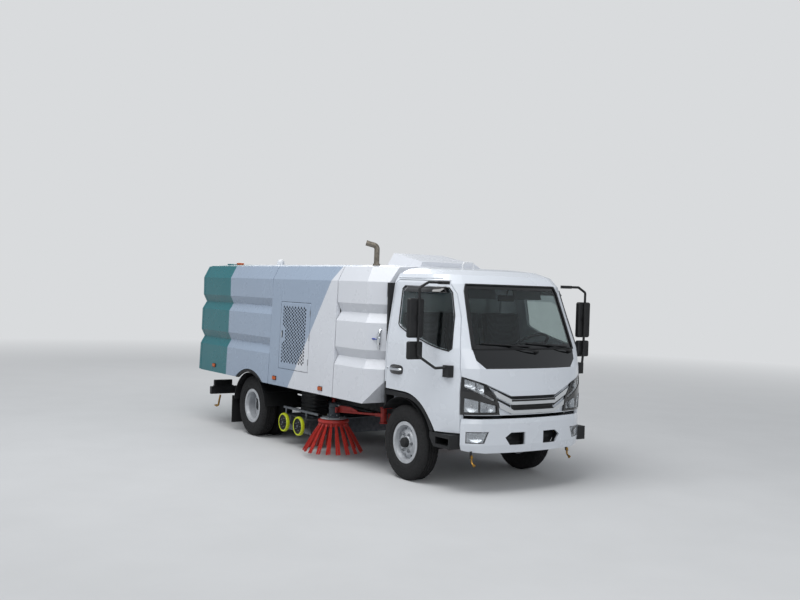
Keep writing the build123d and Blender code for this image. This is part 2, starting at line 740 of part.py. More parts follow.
def mesh_door():
    """The right-hand side door of the engine bay, a framed plate."""
    gap = door_gap
    low, high = mesh_door_z0 + gap, mesh_door_z1 - gap
    outer = [(-flat_side_y(low), low), (-flat_side_y(high), high)]
    inner = [(y + mesh_door_thickness, z) for y, z in reversed(outer)]
    return front_prism(outer + inner, mesh_door_x0 + gap, mesh_door_x1 - gap)


def tailgate():
    """The rear door, hung from the roof's edge, with three pressed panels."""
    top = body_folds[1][1] - 8
    plate = grooved(tail_x, tail_x + tailgate_thickness, skirt_z + 6)
    plate &= box(tail_x - 1, tail_x + tailgate_thickness + 1, -1200, 1200, 700, top)
    for z0, z1 in ((860, 1180), (1270, 1590), (1680, 2000)):
        plate -= box(tail_x - 1, tail_x + 18, -860, 860, z0, z1)
    pieces = [plate]
    for y in gate_hinge_ys:
        half = gate_sleeve_width / 2 - 5
        arm = box(tail_x + 15, gate_hinge_x - 4, y - half, y + half, top - 40, gate_hinge_z + 8)
        sleeve = across(gate_hinge_x, gate_hinge_z, gate_pin_radius + 8, y - half, y + half)
        pieces += [arm, sleeve]
    gate = fuse(pieces)
    for y in gate_hinge_ys:
        gate -= across(gate_hinge_x, gate_hinge_z, gate_pin_radius + pin_clearance, y - 60, y + 60)
    return gate


def water_tank():
    """The front part of the body, a closed tank with its front corners cut off at a slant."""
    tank = grooved(seam_x + seam_gap, tank_front_x, skirt_z)
    reach = 3000
    half = [(-w, z) for w, z in reversed(body_folds)]
    profile = [(reach, skirt_z)] + half + [(reach, body_folds[0][1])]
    face_prism = front_prism(profile, -reach, reach)
    corner = Pos(tank_corner_x, -body_folds[-1][0], 0) * Rot(0, 0, tank_corner_angle)
    slanted = corner * Pos(0, body_folds[-1][0], 0) * face_prism
    tank &= slanted
    tank &= left_of(slanted)
    slope = side_prism([(tank_corner_x, 700), (tank_corner_x, 744), (tank_front_x + 20, 1010), (tank_front_x + 20, 700)],
                       -1200, 1200)
    tank -= slope
    return fuse([tank, roof_duct() - tank])


def exhaust(roof):
    """The machine engine's exhaust, a vertical pipe with a swept tip."""
    x, y = rear_axle_x + 2480, -720
    pipe = bent_rod([(x, y, 2190), (x, y, 2430), (x - 60, y - 105, 2462)], 30, 45)
    hollow = rod((x - 45, y - 79, 2454), (x - 62, y - 109, 2463), 25)
    collar = rod((x, y, 2190), (x, y, 2236), 42)
    return fuse([pipe, collar]) - hollow - roof


def roof_duct():
    """The wedge-shaped air duct on the tank's roof, behind the cab."""
    x0, x1 = rear_axle_x + 2330, rear_axle_x + 2900
    low = body_folds[0][1] - 6
    return loft([
        make_face(Polyline((x0, -480, low), (x0, 480, low), (x0, 300, low + 150), (x0, -390, low + 150), close=True)),
        make_face(Polyline((x1, -420, low), (x1, 420, low), (x1, 330, low + 50), (x1, -400, low + 50), close=True)),
    ], ruled=True)


def air_intake():
    """The engine's air intake, a tall duct in the gap behind the cab, on a bracket from the tank."""
    x0, x1 = tank_front_x, cab_rear_x - 8
    duct = box(x0 + 4, x1, -900, -800, 760, 1980)
    head = box(x0 + 4, x1, -905, -660, 1880, 2030)
    straps = [box(x0, x0 + 5, -890, -700, z, z + 40) for z in (1100, 1900)]
    return fuse([duct, head, *straps])


def machine_engine():
    """The auxiliary engine and fan behind the mesh doors, as one plain block."""
    return box(rear_axle_x + 980, rear_axle_x + 1980, -420, 420, rail_top_z + 60, 1480)


# Sweeping gear


def suction_nozzle():
    """The wide suction mouth under the frame, its side plates and wheel brackets."""
    x0, x1 = nozzle_wheel_xs[0] - 90, nozzle_wheel_xs[1] + 100
    mouth = side_prism([(x0, 170), (x0 + 40, 352), (x1 - 60, 352), (x1, 170)], -790, 790)
    hollow = side_prism([(x0 + 20, 169), (x0 + 55, 340), (x1 - 72, 340), (x1 - 20, 169)], -778, 778)
    shell = mouth - hollow
    shell += box(x0 - 60, x1 + 30, -840, 840, 350, 362)
    for y in (-nozzle_guide_y, nozzle_guide_y):
        for x in nozzle_guide_xs:
            shell += rod((x, y, 361), (x, y, 690), nozzle_guide_radius)
    duct = loft([
        Pos(nozzle_duct_x, -nozzle_duct_y, 361) * Rectangle(300, 200),
        Pos(nozzle_duct_x, -nozzle_duct_y, 560) * Rectangle(200, 150),
    ])
    duct -= loft([
        Pos(nozzle_duct_x, -nozzle_duct_y, 330) * Rectangle(292, 192),
        Pos(nozzle_duct_x, -nozzle_duct_y, 561) * Rectangle(192, 142),
    ])
    shell = fuse([shell, duct]) - Pos(nozzle_duct_x, -nozzle_duct_y, 350) * Box(280, 180, 40)
    for x in nozzle_wheel_xs:
        post = box(x - 24, x + 24, -822, -791, nozzle_wheel_z - 34, 351)
        pin = across(x, nozzle_wheel_z, 14, -nozzle_wheel_y - 24, -821)
        shell = fuse([shell, post, pin, left_of(post), left_of(pin)])
    return shell


def nozzle_guides():
    """Tubes on the right-hand rail in which the nozzle's rods slide up and down."""
    guides = []
    for x in nozzle_guide_xs:
        tube = rod((x, -nozzle_guide_y, 400), (x, -nozzle_guide_y, 700), nozzle_guide_radius + 7)
        pad = box(x - 15, x + 15, -nozzle_guide_y, -rail_half_spacing, 560, 700)
        bore = rod((x, -nozzle_guide_y, 390), (x, -nozzle_guide_y, 710), nozzle_guide_radius + pin_clearance)
        guides.append(fuse([tube, pad]) - bore)
    return guides


def nozzle_wheel(x, side):
    """A solid yellow-tyred wheel on its pin."""
    outline = [(14.3, -20), (34, -20), (40, -10), (88, -8), (92, -22), (108, -22), (nozzle_wheel_radius, -12),
               (nozzle_wheel_radius, 12), (108, 22), (92, 22), (88, 8), (40, 10), (34, 20), (14.3, 20)]
    face = make_face(Polyline(*[(r, w, 0) for r, w in outline], close=True))
    return Pos(x, side * nozzle_wheel_y, nozzle_wheel_z) * revolve(face, axis=Axis.Y)


def brush_bracket():
    """The right-hand rail's bracket, with the pin of the brush post between its two round-ended plates."""
    x, y = brush_arm_pivot_x, -brush_arm_pivot_y
    low, high = brush_post_z
    pieces = [rod((x, y, low - 12), (x, y, high + 12), brush_pivot_radius)]
    for z, inner in ((high + 6, -rail_half_spacing), (low - 20, -rail_half_spacing + 40)):
        pieces.append(rod((x, y, z), (x, y, z + 14), bracket_half_width))
        pieces.append(box(x - bracket_half_width, x + bracket_half_width, y, inner, z, z + 14))
    pieces.append(box(x - bracket_half_width, x + bracket_half_width, -rail_half_spacing + 2, -rail_half_spacing + 40,
                      low - 20, rail_top_z - rail_depth))
    return fuse(pieces)


def arm_frame(shape):
    """Places a piece drawn along X so that it runs from the arm's hinge to the brush."""
    dx, dy = brush_x - brush_arm_pivot_x, -brush_y + brush_arm_pivot_y
    return Pos(brush_arm_pivot_x, -brush_arm_pivot_y, brush_arm_z) * Rot(0, 0, math.degrees(math.atan2(dy, dx))) * shape


def brush_post():
    """The post that swings on its pin and carries the hinge of the right-hand brush arm."""
    low, high = brush_post_z
    post = Pos(0, 0, (low + high) / 2 - brush_arm_z) * Cylinder(36, high - low)
    ears = [box(20, brush_hinge_reach + 16, y - 6, y + 6, -18, 18) for y in (-26, 26)]
    pin = across(brush_hinge_reach, 0, brush_hinge_radius, -32, 32)
    pivot = Cylinder(brush_pivot_radius + pin_clearance, 600)
    return arm_frame(fuse([post, *ears, pin]) - pivot)


def brush_arm():
    """The right-hand brush arm, with its motor and the plate above the brush."""
    length = math.hypot(brush_x - brush_arm_pivot_x, brush_y - brush_arm_pivot_y)
    eye = across(brush_hinge_reach, 0, 17, -14, 14)
    bar = box(brush_hinge_reach + 10, length, -14, 14, -12, 12)
    brace = box(length / 2, length, -12, 12, 10, 70)
    motor = Pos(length, 0, 22) * Cylinder(62, 150)
    low = brush_plate_z - brush_arm_z
    cover = Pos(length, 0, low + 31) * Cylinder(235, 10)
    flange = Pos(length, 0, low + 45) * Cylinder(75, 30)
    arm = fuse([eye, bar, brace, motor, cover, flange])
    arm -= across(brush_hinge_reach, 0, brush_hinge_radius + pin_clearance, -40, 40)
    socket = Cylinder(brush_shaft_radius + pin_clearance, 110 - low)
    return arm_frame(arm - Pos(length, 0, (110 + low) / 2 - 90) * socket)


def brush():
    """The right-hand disc brush: a moulded plate with tufts that splay to the ground."""
    plate = Pos(brush_x, -brush_y, brush_plate_z) * Cylinder(brush_plate_radius, 36)
    skirt = loft([
        Pos(brush_x, -brush_y, brush_plate_z - 17) * Circle(brush_plate_radius - 2),
        Pos(brush_x, -brush_y, brush_plate_z - 60) * Circle(brush_plate_radius - 40),
    ])
    shaft = rod((brush_x, -brush_y, brush_plate_z), (brush_x, -brush_y, brush_arm_z), brush_shaft_radius)
    pieces = [plate, skirt, shaft]
    for i in range(brush_tufts):
        a = 2 * math.pi * i / brush_tufts
        ca, sa = math.cos(a), math.sin(a)
        top = Vector(brush_x + (brush_plate_radius - 28) * ca, -brush_y + (brush_plate_radius - 28) * sa,
                     brush_plate_z - 30)
        tip = Vector(brush_x + brush_tip_radius * ca, -brush_y + brush_tip_radius * sa, brush_tip_z + 12)
        down = tip - top
        x_dir = Vector(-sa, ca, 0)
        pieces.append(loft([
            Plane(origin=top, x_dir=x_dir, z_dir=down) * Rectangle(24, 14),
            Plane(origin=tip, x_dir=x_dir, z_dir=down) * Rectangle(52, 26),
        ]))
    return fuse(pieces)


# Front and rear ends


def bumper_solid(inset):
    """The bumper's form, whose corners are as round as the cab's above it."""
    return loft([cab_outline(row, nose_x, cab_rear_x, inset) for row in bumper_rows], ruled=True)


def front_bumper():
    """The bumper shell with lamp openings, two slanted pockets and its frame brackets."""
    shell = bumper_solid(0) - bumper_solid(bumper_thickness)
    shell &= box(door_front_x + 8, nose_x + 1, -1000, 1000, 390, 800)
    lift = [(-1000, 380), (-560, 380), (-560, 402), (-700, 415), (-960, 470), (-1000, 470)]
    for outline in (fog_outline, hook_outline, lift):
        shell -= front_prism(outline, nose_x - 300, nose_x + 10)
        shell -= front_prism([(-y, z) for y, z in outline], nose_x - 300, nose_x + 10)
    bracket = box(rail_front_x - 140, nose_x - 20, -rail_half_spacing - 24, -rail_half_spacing - 2, 560, 700)
    bracket &= bumper_solid(bumper_thickness / 2)
    foot = box(rail_front_x - 140, rail_front_x - 10, -rail_half_spacing - 3, -rail_half_spacing, 560, 700)
    return fuse([shell, bracket, foot, left_of(bracket), left_of(foot)])


def rear_bumper():
    """The under-run bar on two brackets behind the rear wheels."""
    x = tail_x + 75
    bar = box(x, x + 55, -940, 940, 395, 500)
    post = side_prism([(x + 40, 400), (x + 40, 500), (rail_rear_x + 40, 700), (rail_rear_x + 160, 700),
                       (rail_rear_x + 160, 600)], -rail_half_spacing - 14, -rail_half_spacing)
    shelf = box(x + 10, x + 50, -900, -600, 499, 512)
    return fuse([bar, post, left_of(post), shelf, left_of(shelf)])


def tail_lamps():
    """A lamp cluster at each end of the under-run bar."""
    x = tail_x + 78
    return both(fillet(box(x, x + 48, -890, -620, 512, 592).edges(), 8))


def rear_mudguards():
    """Arched guards over the twin wheels, with flaps behind."""
    centre_x, centre_z, radius = rear_axle_x + 10, tyre_radius - 20, 452
    inner_y = rear_track / 2 - twin_spacing / 2 - tyre_width / 2 - 30
    ring = Cylinder(radius, outer_guard_y - inner_y) - Cylinder(radius - guard_thickness, 900)
    ring = Pos(centre_x, -(outer_guard_y + inner_y) / 2, centre_z) * Rot(90, 0, 0) * ring
    ring &= box(centre_x - radius - 10, centre_x + radius + 10, -1100, -300, 430, 900)
    end_x = centre_x - math.sqrt(radius**2 - (430 - centre_z) ** 2)
    flap = box(end_x - 60, end_x - 52, -outer_guard_y, -inner_y, 110, 470)
    hanger = box(end_x - 60, end_x + 12, -outer_guard_y, -inner_y, 462, 470)
    stays = []
    for reach in (-380, 380):
        z = centre_z + math.sqrt((radius - guard_thickness / 2) ** 2 - reach**2)
        stays.append(across(centre_x + reach, z, 12, -outer_guard_y + 20, -rail_half_spacing))
    return both(fuse([ring, flap, hanger, *stays]))


def fuel_tank():
    """The diesel tank on the left-hand rail."""
    tank = box(front_axle_x - 780, front_axle_x - 640, rail_half_spacing + 12, rail_half_spacing + 330, 380, 700)
    tank = fillet(tank.edges(), 30)
    strap = box(front_axle_x - 730, front_axle_x - 690, rail_half_spacing, rail_half_spacing + 14, 420, 690)
    return fuse([tank, strap])


# Tipping rams


def ram_foot():
    """A bracket that hangs from the rail and holds the foot of the right-hand tipping ram."""
    x, z = ram_base
    inner, outer = -rail_half_spacing, -ram_y - ram_barrel_radius - 20
    plate = side_prism([(x - 50, rail_top_z - 100), (x + 50, rail_top_z - 100), (x + 35, z - 35), (x - 35, z - 35)],
                       inner - 10, inner)
    sill = box(x - 35, x + 35, outer, inner, z - ram_sleeve_radius - 16, z - ram_sleeve_radius - 6)
    ear = box(x - 30, x + 30, outer, outer + 12, z - ram_sleeve_radius - 16, z + 30)
    pin = across(x, z, ram_pin_radius, outer + 1, inner - 1)
    return fuse([plate, sill, ear, pin])


def ram_barrel():
    """The barrel of the right-hand tipping ram, with the sleeve on its foot pin."""
    (bx, bz), (ex, ez) = ram_base, ram_eye
    length = math.hypot(ex - bx, ez - bz)
    ux, uz = (ex - bx) / length, (ez - bz) / length
    end = length - 75
    y = -ram_y
    barrel = rod((bx + ux * 20, y, bz + uz * 20), (bx + ux * end, y, bz + uz * end), ram_barrel_radius)
    barrel = fuse([barrel, across(bx, bz, ram_sleeve_radius, y - 26, y + 26)])
    barrel -= across(bx, bz, ram_pin_radius + pin_clearance, y - 60, y + 60)
    bore = ram_rod_radius + pin_clearance
    return barrel - rod((bx + ux * 60, y, bz + uz * 60), (bx + ux * (end + 5), y, bz + uz * (end + 5)), bore)


def ram_rod():
    """The rod of the right-hand tipping ram, with its eye between the hopper's lugs."""
    (bx, bz), (ex, ez) = ram_base, ram_eye
    length = math.hypot(ex - bx, ez - bz)
    ux, uz = (ex - bx) / length, (ez - bz) / length
    y = -ram_y
    stem = rod((bx + ux * 75, y, bz + uz * 75), (ex - ux * 14, y, ez - uz * 14), ram_rod_radius)
    eye = across(ex, ez, 26, y - 22, y + 22) - across(ex, ez, 14, y - 30, y + 30)
    return fuse([stem, eye]) - across(ex, ez, 14, y - 30, y + 30)


def build():
    outer, inner = cab_solid(0), cab_solid(cab_wall)
    tank = water_tank()
    parts = {
        "chassis_frame": chassis_frame(),
        "tow_eyes": both(tow_eye()),
        "rail_brackets": both(Compound(children=[brush_bracket(), *nozzle_guides()])),
        "front_axle": front_axle(),
        "rear_axle": rear_axle(),
        "driveline": driveline(),
        "fuel_tank": fuel_tank(),
        "front_bumper": front_bumper(),
        "rear_bumper": rear_bumper(),
        "tail_lamps": tail_lamps(),
        "rear_mudguards": rear_mudguards(),
        "water_tank": tank,
        "exhaust_pipe": exhaust(tank),
        "air_intake": air_intake(),
        "engine_cover": engine_cover(),
        "machine_engine": machine_engine(),
        "suction_nozzle": suction_nozzle(),
        "hopper_shell": hopper_shell(),
        "tailgate": tailgate(),
        "dashboard": dashboard(),
        "seats": seats(),
        "cab_trim": cab_trim(),
    }
    parts.update(build_cab(outer, inner))
    right = {
        "door": door(outer, inner),
        "door_glass": door_glass(),
        "mirror": mirror_set(),
        "knuckle": knuckle(),
        "mesh_door": mesh_door(),
        "brush_post": brush_post(),
        "brush_arm": brush_arm(),
        "brush": brush(),
        "ram_barrel": ram_barrel(),
        "ram_rod": ram_rod(),
    }
    for name, shape in right.items():
        parts[name + "_right"] = shape
        parts[name + "_left"] = left_of(shape)
    front = Pos(front_axle_x, 0, tyre_radius)
    rear = Pos(rear_axle_x, 0, tyre_radius)
    front_y, rear_y, half_twin = -front_track / 2, -rear_track / 2, twin_spacing / 2
    front_rim = fuse([rim(front_y, -58), front_hub()])
    rear_rims = fuse([rim(rear_y - half_twin, half_twin - 22), rim(rear_y + half_twin, -half_twin + 22), rear_hub()])
    rear_tyres = [tyre(rear_y - half_twin), tyre(rear_y + half_twin)]
    wheels = {
        "front_tyre": front * tyre(front_y),
        "front_rim": front * front_rim,
        "rear_tyres": Compound(children=[s for t in rear_tyres for s in (rear * t).solids()]),
        "rear_rims": rear * rear_rims,
    }
    for name, shape in wheels.items():
        parts[name + "_right"] = shape
        parts[name + "_left"] = left_of(shape)
    for i, x in enumerate(nozzle_wheel_xs):
        for side, word in ((-1, "right"), (1, "left")):
            parts[f"nozzle_wheel_{word}_{i + 1}"] = nozzle_wheel(x, side)
    return parts


os.makedirs("parts", exist_ok=True)
for node, shape in build().items():
    export_step(shape, f"parts/{node}.step")
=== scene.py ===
import random
from math import copysign, cos, exp, hypot, pi, radians, sin, sqrt, tau

import bmesh
import bpy
from mathutils import Matrix, Vector
from mathutils.bvhtree import BVHTree


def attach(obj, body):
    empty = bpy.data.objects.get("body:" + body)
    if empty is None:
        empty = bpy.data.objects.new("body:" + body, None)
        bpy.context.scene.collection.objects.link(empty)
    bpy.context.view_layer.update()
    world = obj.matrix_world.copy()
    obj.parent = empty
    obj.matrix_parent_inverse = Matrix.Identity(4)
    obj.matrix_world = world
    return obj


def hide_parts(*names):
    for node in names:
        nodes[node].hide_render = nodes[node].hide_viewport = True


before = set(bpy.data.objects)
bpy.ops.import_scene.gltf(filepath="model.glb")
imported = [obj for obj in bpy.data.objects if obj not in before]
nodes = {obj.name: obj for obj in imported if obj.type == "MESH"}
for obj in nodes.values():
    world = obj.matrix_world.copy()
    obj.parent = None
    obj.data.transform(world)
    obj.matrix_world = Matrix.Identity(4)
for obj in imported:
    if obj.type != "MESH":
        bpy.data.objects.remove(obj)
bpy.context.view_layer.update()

random.seed(7)
print("frame loaded:", len(nodes), "nodes")

# Where things are, in metres: +X forward, +Y to the truck's left, +Z up
truck = {
    "frontAxleX": 1.863, "rearAxleX": -1.445,
    "tyreRadius": 0.388, "tyreWidth": 0.19, "rimRadius": 0.216,
    "frontWheelY": 0.7625, "rearWheelY": 0.76, "twinSpacing": 0.232,
    "bodyRearX": -2.837, "grooveEndX": -0.783, "seamX": 0.763, "roofZ": 2.226,
}
rearX, frontX = truck["rearAxleX"], truck["frontAxleX"]

# Materials


def linear(hexColour, factor=1.0):  # sRGB hex to the linear values that shaders take, factor times as bright
    channels = [int(hexColour[i : i + 2], 16) / 255 for i in (1, 3, 5)]
    return tuple(min(1.0, factor * (c / 12.92 if c <= 0.04045 else ((c + 0.055) / 1.055) ** 2.4))
                 for c in channels) + (1.0,)


def addNode(tree, kind, settings=None, links=None):
    node = tree.nodes.new("ShaderNode" + kind)
    for key, value in (settings or {}).items():
        if isinstance(key, int) or key in node.inputs:
            node.inputs[key].default_value = value
        else:
            setattr(node, key, value)
    for key, output in (links or {}).items():
        tree.links.new(output, node.inputs[key])
    return node


def startMaterial(name):
    material = bpy.data.materials.new(name)
    material.use_nodes = True
    tree = material.node_tree
    tree.nodes.clear()
    return material, tree, addNode(tree, "TexCoord").outputs["Object"]


def closeMaterial(tree, settings, links):
    shader = addNode(tree, "BsdfPrincipled", settings, links)
    addNode(tree, "OutputMaterial", links={"Surface": shader.outputs[0]})


def cloudy(tree, place, sizeMm, low, high, detail=4.0):  # soft blotches about sizeMm across, from low to high
    noise = addNode(tree, "TexNoise", {"Scale": 1000 / sizeMm, "Detail": detail, "Roughness": 0.6},
                    {"Vector": place})
    ramp = addNode(tree, "ValToRGB", links={"Fac": noise.outputs["Fac"]})
    for stop, position, value in zip(ramp.color_ramp.elements, (0.35, 0.65), (low, high)):
        stop.position, stop.color = position, value if isinstance(value, tuple) else (value, value, value, 1.0)
    return ramp.outputs["Color"]


def relief(tree, place, sizeMm, heightMm, strength, detail=2.0):  # grain about sizeMm across
    noise = addNode(tree, "TexNoise", {"Scale": 1000 / sizeMm, "Detail": detail, "Roughness": 0.6},
                    {"Vector": place})
    return addNode(tree, "Bump", {"Strength": strength, "Distance": heightMm / 1000},
                   {"Height": noise.outputs["Fac"]}).outputs[0]


finishes = {
    # name: export slot, colour, shade and mm of its blotches, roughness range, mm and height of the grain,
    # metallic, coat
    # two-pack polyurethane over a steel sheet: even, with a faint orange peel under the gloss
    "whitePolyurethanePaint": ("white_paint", "#D6DBE2", 0.985, 900, (0.22, 0.30), 3, 0.02, 0.0, 0.6),
    # brushed enamel: half matt, darker where dirt has settled
    "redEnamel": ("red_paint", "#B8332C", 0.72, 60, (0.35, 0.55), 2, 0.05),
    "blueEnamel": ("steel", "#2340A0", 0.9, 40, (0.3, 0.4), 2, 0.02),
    "whiteEnamel": ("white_paint", "#DDDFE2", 0.93, 80, (0.3, 0.4), 2, 0.03),
    "paleGreyEnamel": ("grey_paint", "#B9BDC0", 0.8, 60, (0.35, 0.5), 2, 0.05),
    # baked wheel enamel with metal flake: a soft silver sheen
    "silverWheelEnamel": ("wheel_paint", "#C9CCD0", 0.8, 70, (0.3, 0.45), 2, 0.05, 0.35),
    # air-dried chassis and engine enamels, dulled by road dust
    "blackChassisEnamel": ("frame_paint", "#1B1C1E", 1.9, 140, (0.45, 0.75), 2.5, 0.12),
    "dustyEngineEnamel": ("engine_iron", "#3C4248", 1.6, 80, (0.5, 0.75), 3, 0.2),
    # moulded polypropylene and ABS with a spark-eroded grain that scatters the light
    "grainedPolypropylene": ("black_plastic", "#101113", 1.4, 260, (0.5, 0.66), 1.6, 0.16),
    "greyDashboardAbs": ("black_plastic", "#3F4246", 0.85, 120, (0.55, 0.7), 1.8, 0.12),
    # polished acrylic-capped ABS: a black mirror
    "glossBlackAbs": ("gloss_black", "#0B0C0E", 1.1, 400, (0.06, 0.12), 30, 0.01, 0.0, 0.8),
    # carbon-black rubber, chalky where it has weathered
    "tyreRubber": ("tyre_rubber", "#141415", 1.6, 55, (0.72, 0.9), 2.2, 0.2),
    "epdmSeal": ("black_plastic", "#101113", 1.3, 50, (0.55, 0.7), 2, 0.06),
    "hoseRubber": ("black_plastic", "#141517", 1.5, 40, (0.5, 0.65), 3, 0.1),
    # cast polyurethane and drawn nylon: bright plastics with a waxy, scuffed surface
    "yellowPolyurethane": ("yellow_rubber", "#D6E21E", 0.8, 25, (0.4, 0.55), 2, 0.06),
    "redNylonBristle": ("bristle", "#C8352B", 0.62, 14, (0.42, 0.6), 1.2, 0.05),
    # chromium on ABS and silver behind glass: clean mirrors
    "chromePlate": ("chrome_trim", "#DADDE0", 0.95, 200, (0.05, 0.1), 40, 0.01, 1.0),
    "mirrorSilver": ("chrome_trim", "#E6E8EA", 0.98, 300, (0.02, 0.03), 60, 0.002, 1.0),
    # aluminium evaporated on a moulded bowl, under lacquer: a softened mirror
    "lampReflectorFilm": ("chrome_trim", "#C4C8CC", 0.9, 60, (0.16, 0.26), 9, 0.25, 1.0),
    # passivated zinc: a soft grey metal with cloudy patches
    "zincPlatedSteel": ("steel", "#A9ACB0", 0.72, 30, (0.35, 0.55), 1.5, 0.05, 1.0),
    # ground and plated rod: a hard, clean shine
    "hardChromeRod": ("steel", "#C9CCD0", 0.9, 80, (0.12, 0.2), 12, 0.01, 1.0),
    # turned brass, dull where it was handled
    "brass": ("steel", "#B58C45", 0.75, 25, (0.28, 0.45), 1.2, 0.04, 1.0),
    # sand-cast iron, heat-scaled tube and scuffed sheet: rough, with dark patches
    "castIron": ("frame_paint", "#4A4C4F", 0.6, 45, (0.6, 0.8), 3, 0.35, 0.4),
    "scaledExhaustSteel": ("steel", "#8A8378", 0.6, 35, (0.45, 0.7), 2, 0.1, 0.8),
    "wornSheetSteel": ("steel", "#8C9096", 0.65, 50, (0.38, 0.6), 2, 0.08, 0.85),
}


def makeFinish(name, hexColour, shade, blotchMm, rough, grainMm, heightMm, metallic=0.0, coat=0.0):
    material, tree, place = startMaterial(name)
    closeMaterial(tree, {"Metallic": metallic, "Coat Weight": coat, "Coat Roughness": 0.05}, {
        "Base Color": cloudy(tree, place, blotchMm, linear(hexColour), linear(hexColour, shade)),
        "Roughness": cloudy(tree, place, blotchMm * 0.4, *rough),
        "Normal": relief(tree, place, grainMm, heightMm, 0.6),
    })
    return material


# The body's paint: teal at the rear, grey in the middle, white ahead of a slanted edge
paintScheme = {
    # the last, near-black colour is painted shade for the body's inside faces
    "teal": "#0D6870", "greyBlue": "#96A5B8", "white": "#D3D6DC", "paintedInsideShade": "#2A2D30",
    "tealEndX": rearX - 0.568,
    "slantX": rearX + 1.168, "slantZ": 0.744,  # where the slanted edge meets the sill
    "slantRun": 0.696,  # metres forward for each metre up
    "insideY": 0.955, "insideZ": 2.135, "insideX": (truck["bodyRearX"] + 0.055, truck["seamX"] - 0.004),
}


def makeLivery(s):  # glossy two-pack paint outside, with a fine orange peel; inside, a near-black colour painted on as shade
    material, tree, place = startMaterial("liveryPolyurethanePaint")
    x, y, z = addNode(tree, "SeparateXYZ", links={0: place}).outputs
    lean = addNode(tree, "Math", {"operation": "MULTIPLY", 1: s["slantRun"]}, {0: z}).outputs[0]
    lead = addNode(tree, "Math", {"operation": "SUBTRACT"}, {0: x, 1: lean}).outputs[0]
    half = addNode(tree, "Math", {"operation": "ABSOLUTE"}, {0: y}).outputs[0]
    zones = [
        (s["teal"], [(x, "LESS_THAN", s["tealEndX"])]),
        (s["white"], [(lead, "GREATER_THAN", s["slantX"] - s["slantRun"] * s["slantZ"])]),
        # painted shade: the body's inside faces turn near-black
        (s["paintedInsideShade"], [(half, "LESS_THAN", s["insideY"]), (z, "LESS_THAN", s["insideZ"]),
                       (x, "GREATER_THAN", s["insideX"][0]), (x, "LESS_THAN", s["insideX"][1])]),
    ]
    under = {}
    for hexColour, tests in zones:
        mask = None
        for value, operation, limit in tests:
            test = addNode(tree, "Math", {"operation": operation, 1: limit}, {0: value}).outputs[0]
            mask = test if mask is None else addNode(tree, "Math", {"operation": "MULTIPLY"},
                                                     {0: mask, 1: test}).outputs[0]
        mix = addNode(tree, "Mix", {"data_type": "RGBA", 6: linear(s["greyBlue"]), 7: linear(hexColour)},
                      {0: mask, **under})
        under = {6: mix.outputs[2]}
    shade = addNode(tree, "Mix", {"data_type": "RGBA", "blend_type": "MULTIPLY", 0: 1.0},
                    {7: cloudy(tree, place, 900, 1.0, 0.985, 1.0), **under})
    closeMaterial(tree, {"Coat Weight": 0.15, "Coat Roughness": 0.08, "Specular IOR Level": 0.35}, {
        "Base Color": shade.outputs[2],
        "Roughness": cloudy(tree, place, 300, 0.24, 0.34),
        "Normal": relief(tree, place, 3, 0.02, 0.5),
    })
    return material


def makeGlass(name, hexColour, roughness, weight):  # clear through, with a faint ripple in the reflections
    material, tree, place = startMaterial(name)
    closeMaterial(tree, {"Roughness": roughness, "IOR": 1.45, "Transmission Weight": weight}, {
        "Base Color": cloudy(tree, place, 250, linear(hexColour), linear(hexColour, 0.95)),
        "Normal": relief(tree, place, 180, 0.2, 0.1, 1.0),
    })
    return material


def makeFabric():  # woven polyester seat cloth: rows of thread that catch the light along their backs
    threadMm = 4  # drawn coarser than the real 1 mm thread so that it shows
    material, tree, place = startMaterial("wovenPolyester")
    turned = addNode(tree, "Mapping", {"Rotation": (0.0, 0.3, 0.0)}, {"Vector": place}).outputs[0]
    warp, weft = (addNode(tree, "TexWave", {"Scale": 1000 / threadMm / 6.3, "Distortion": 0.6, "bands_direction": way},
                          {"Vector": turned}).outputs["Fac"] for way in "YX")
    weave = addNode(tree, "Math", {"operation": "MULTIPLY"}, {0: warp, 1: weft}).outputs[0]
    ramp = addNode(tree, "ValToRGB", links={"Fac": weave})
    for stop, position, hexColour in zip(ramp.color_ramp.elements, (0.1, 0.8), ("#26282C", "#45484E")):
        stop.position, stop.color = position, linear(hexColour)
    bump = addNode(tree, "Bump", {"Strength": 0.5, "Distance": 0.0006}, {"Height": weave})
    closeMaterial(tree, {"Roughness": 0.85, "Sheen Weight": 0.3},
                  {"Base Color": ramp.outputs["Color"], "Normal": bump.outputs[0]})
    return material


looks = {name: (makeFinish(name, *spec), slot) for name, (slot, *spec) in finishes.items()}
for name, slot, *spec in (("floatGlass", "glass", "#C9D3D2", 0.0, 1.0),
                          ("lampPolycarbonate", "red_lens", "#F4F6F8", 0.02, 1.0),
                          ("amberAcrylic", "red_lens", "#E0661A", 0.12, 0.35),
                          ("redAcrylic", "red_lens", "#B01A14", 0.12, 0.35)):
    looks[name] = (makeGlass(name, *spec), slot)
looks["livery"] = (makeLivery(paintScheme), "grey_paint")
looks["wovenPolyester"] = (makeFabric(), "seat_fabric")
print("materials:", len(looks))

# Shape tools


def lift(z):
    return Vector((0, 0, z))


def circle(count):  # cosine and sine at each of count steps
    return [(cos(tau * k / count), sin(tau * k / count)) for k in range(count)]


def addObject(name, data):
    obj = bpy.data.objects.new(name, data)
    bpy.context.scene.collection.objects.link(obj)
    return obj


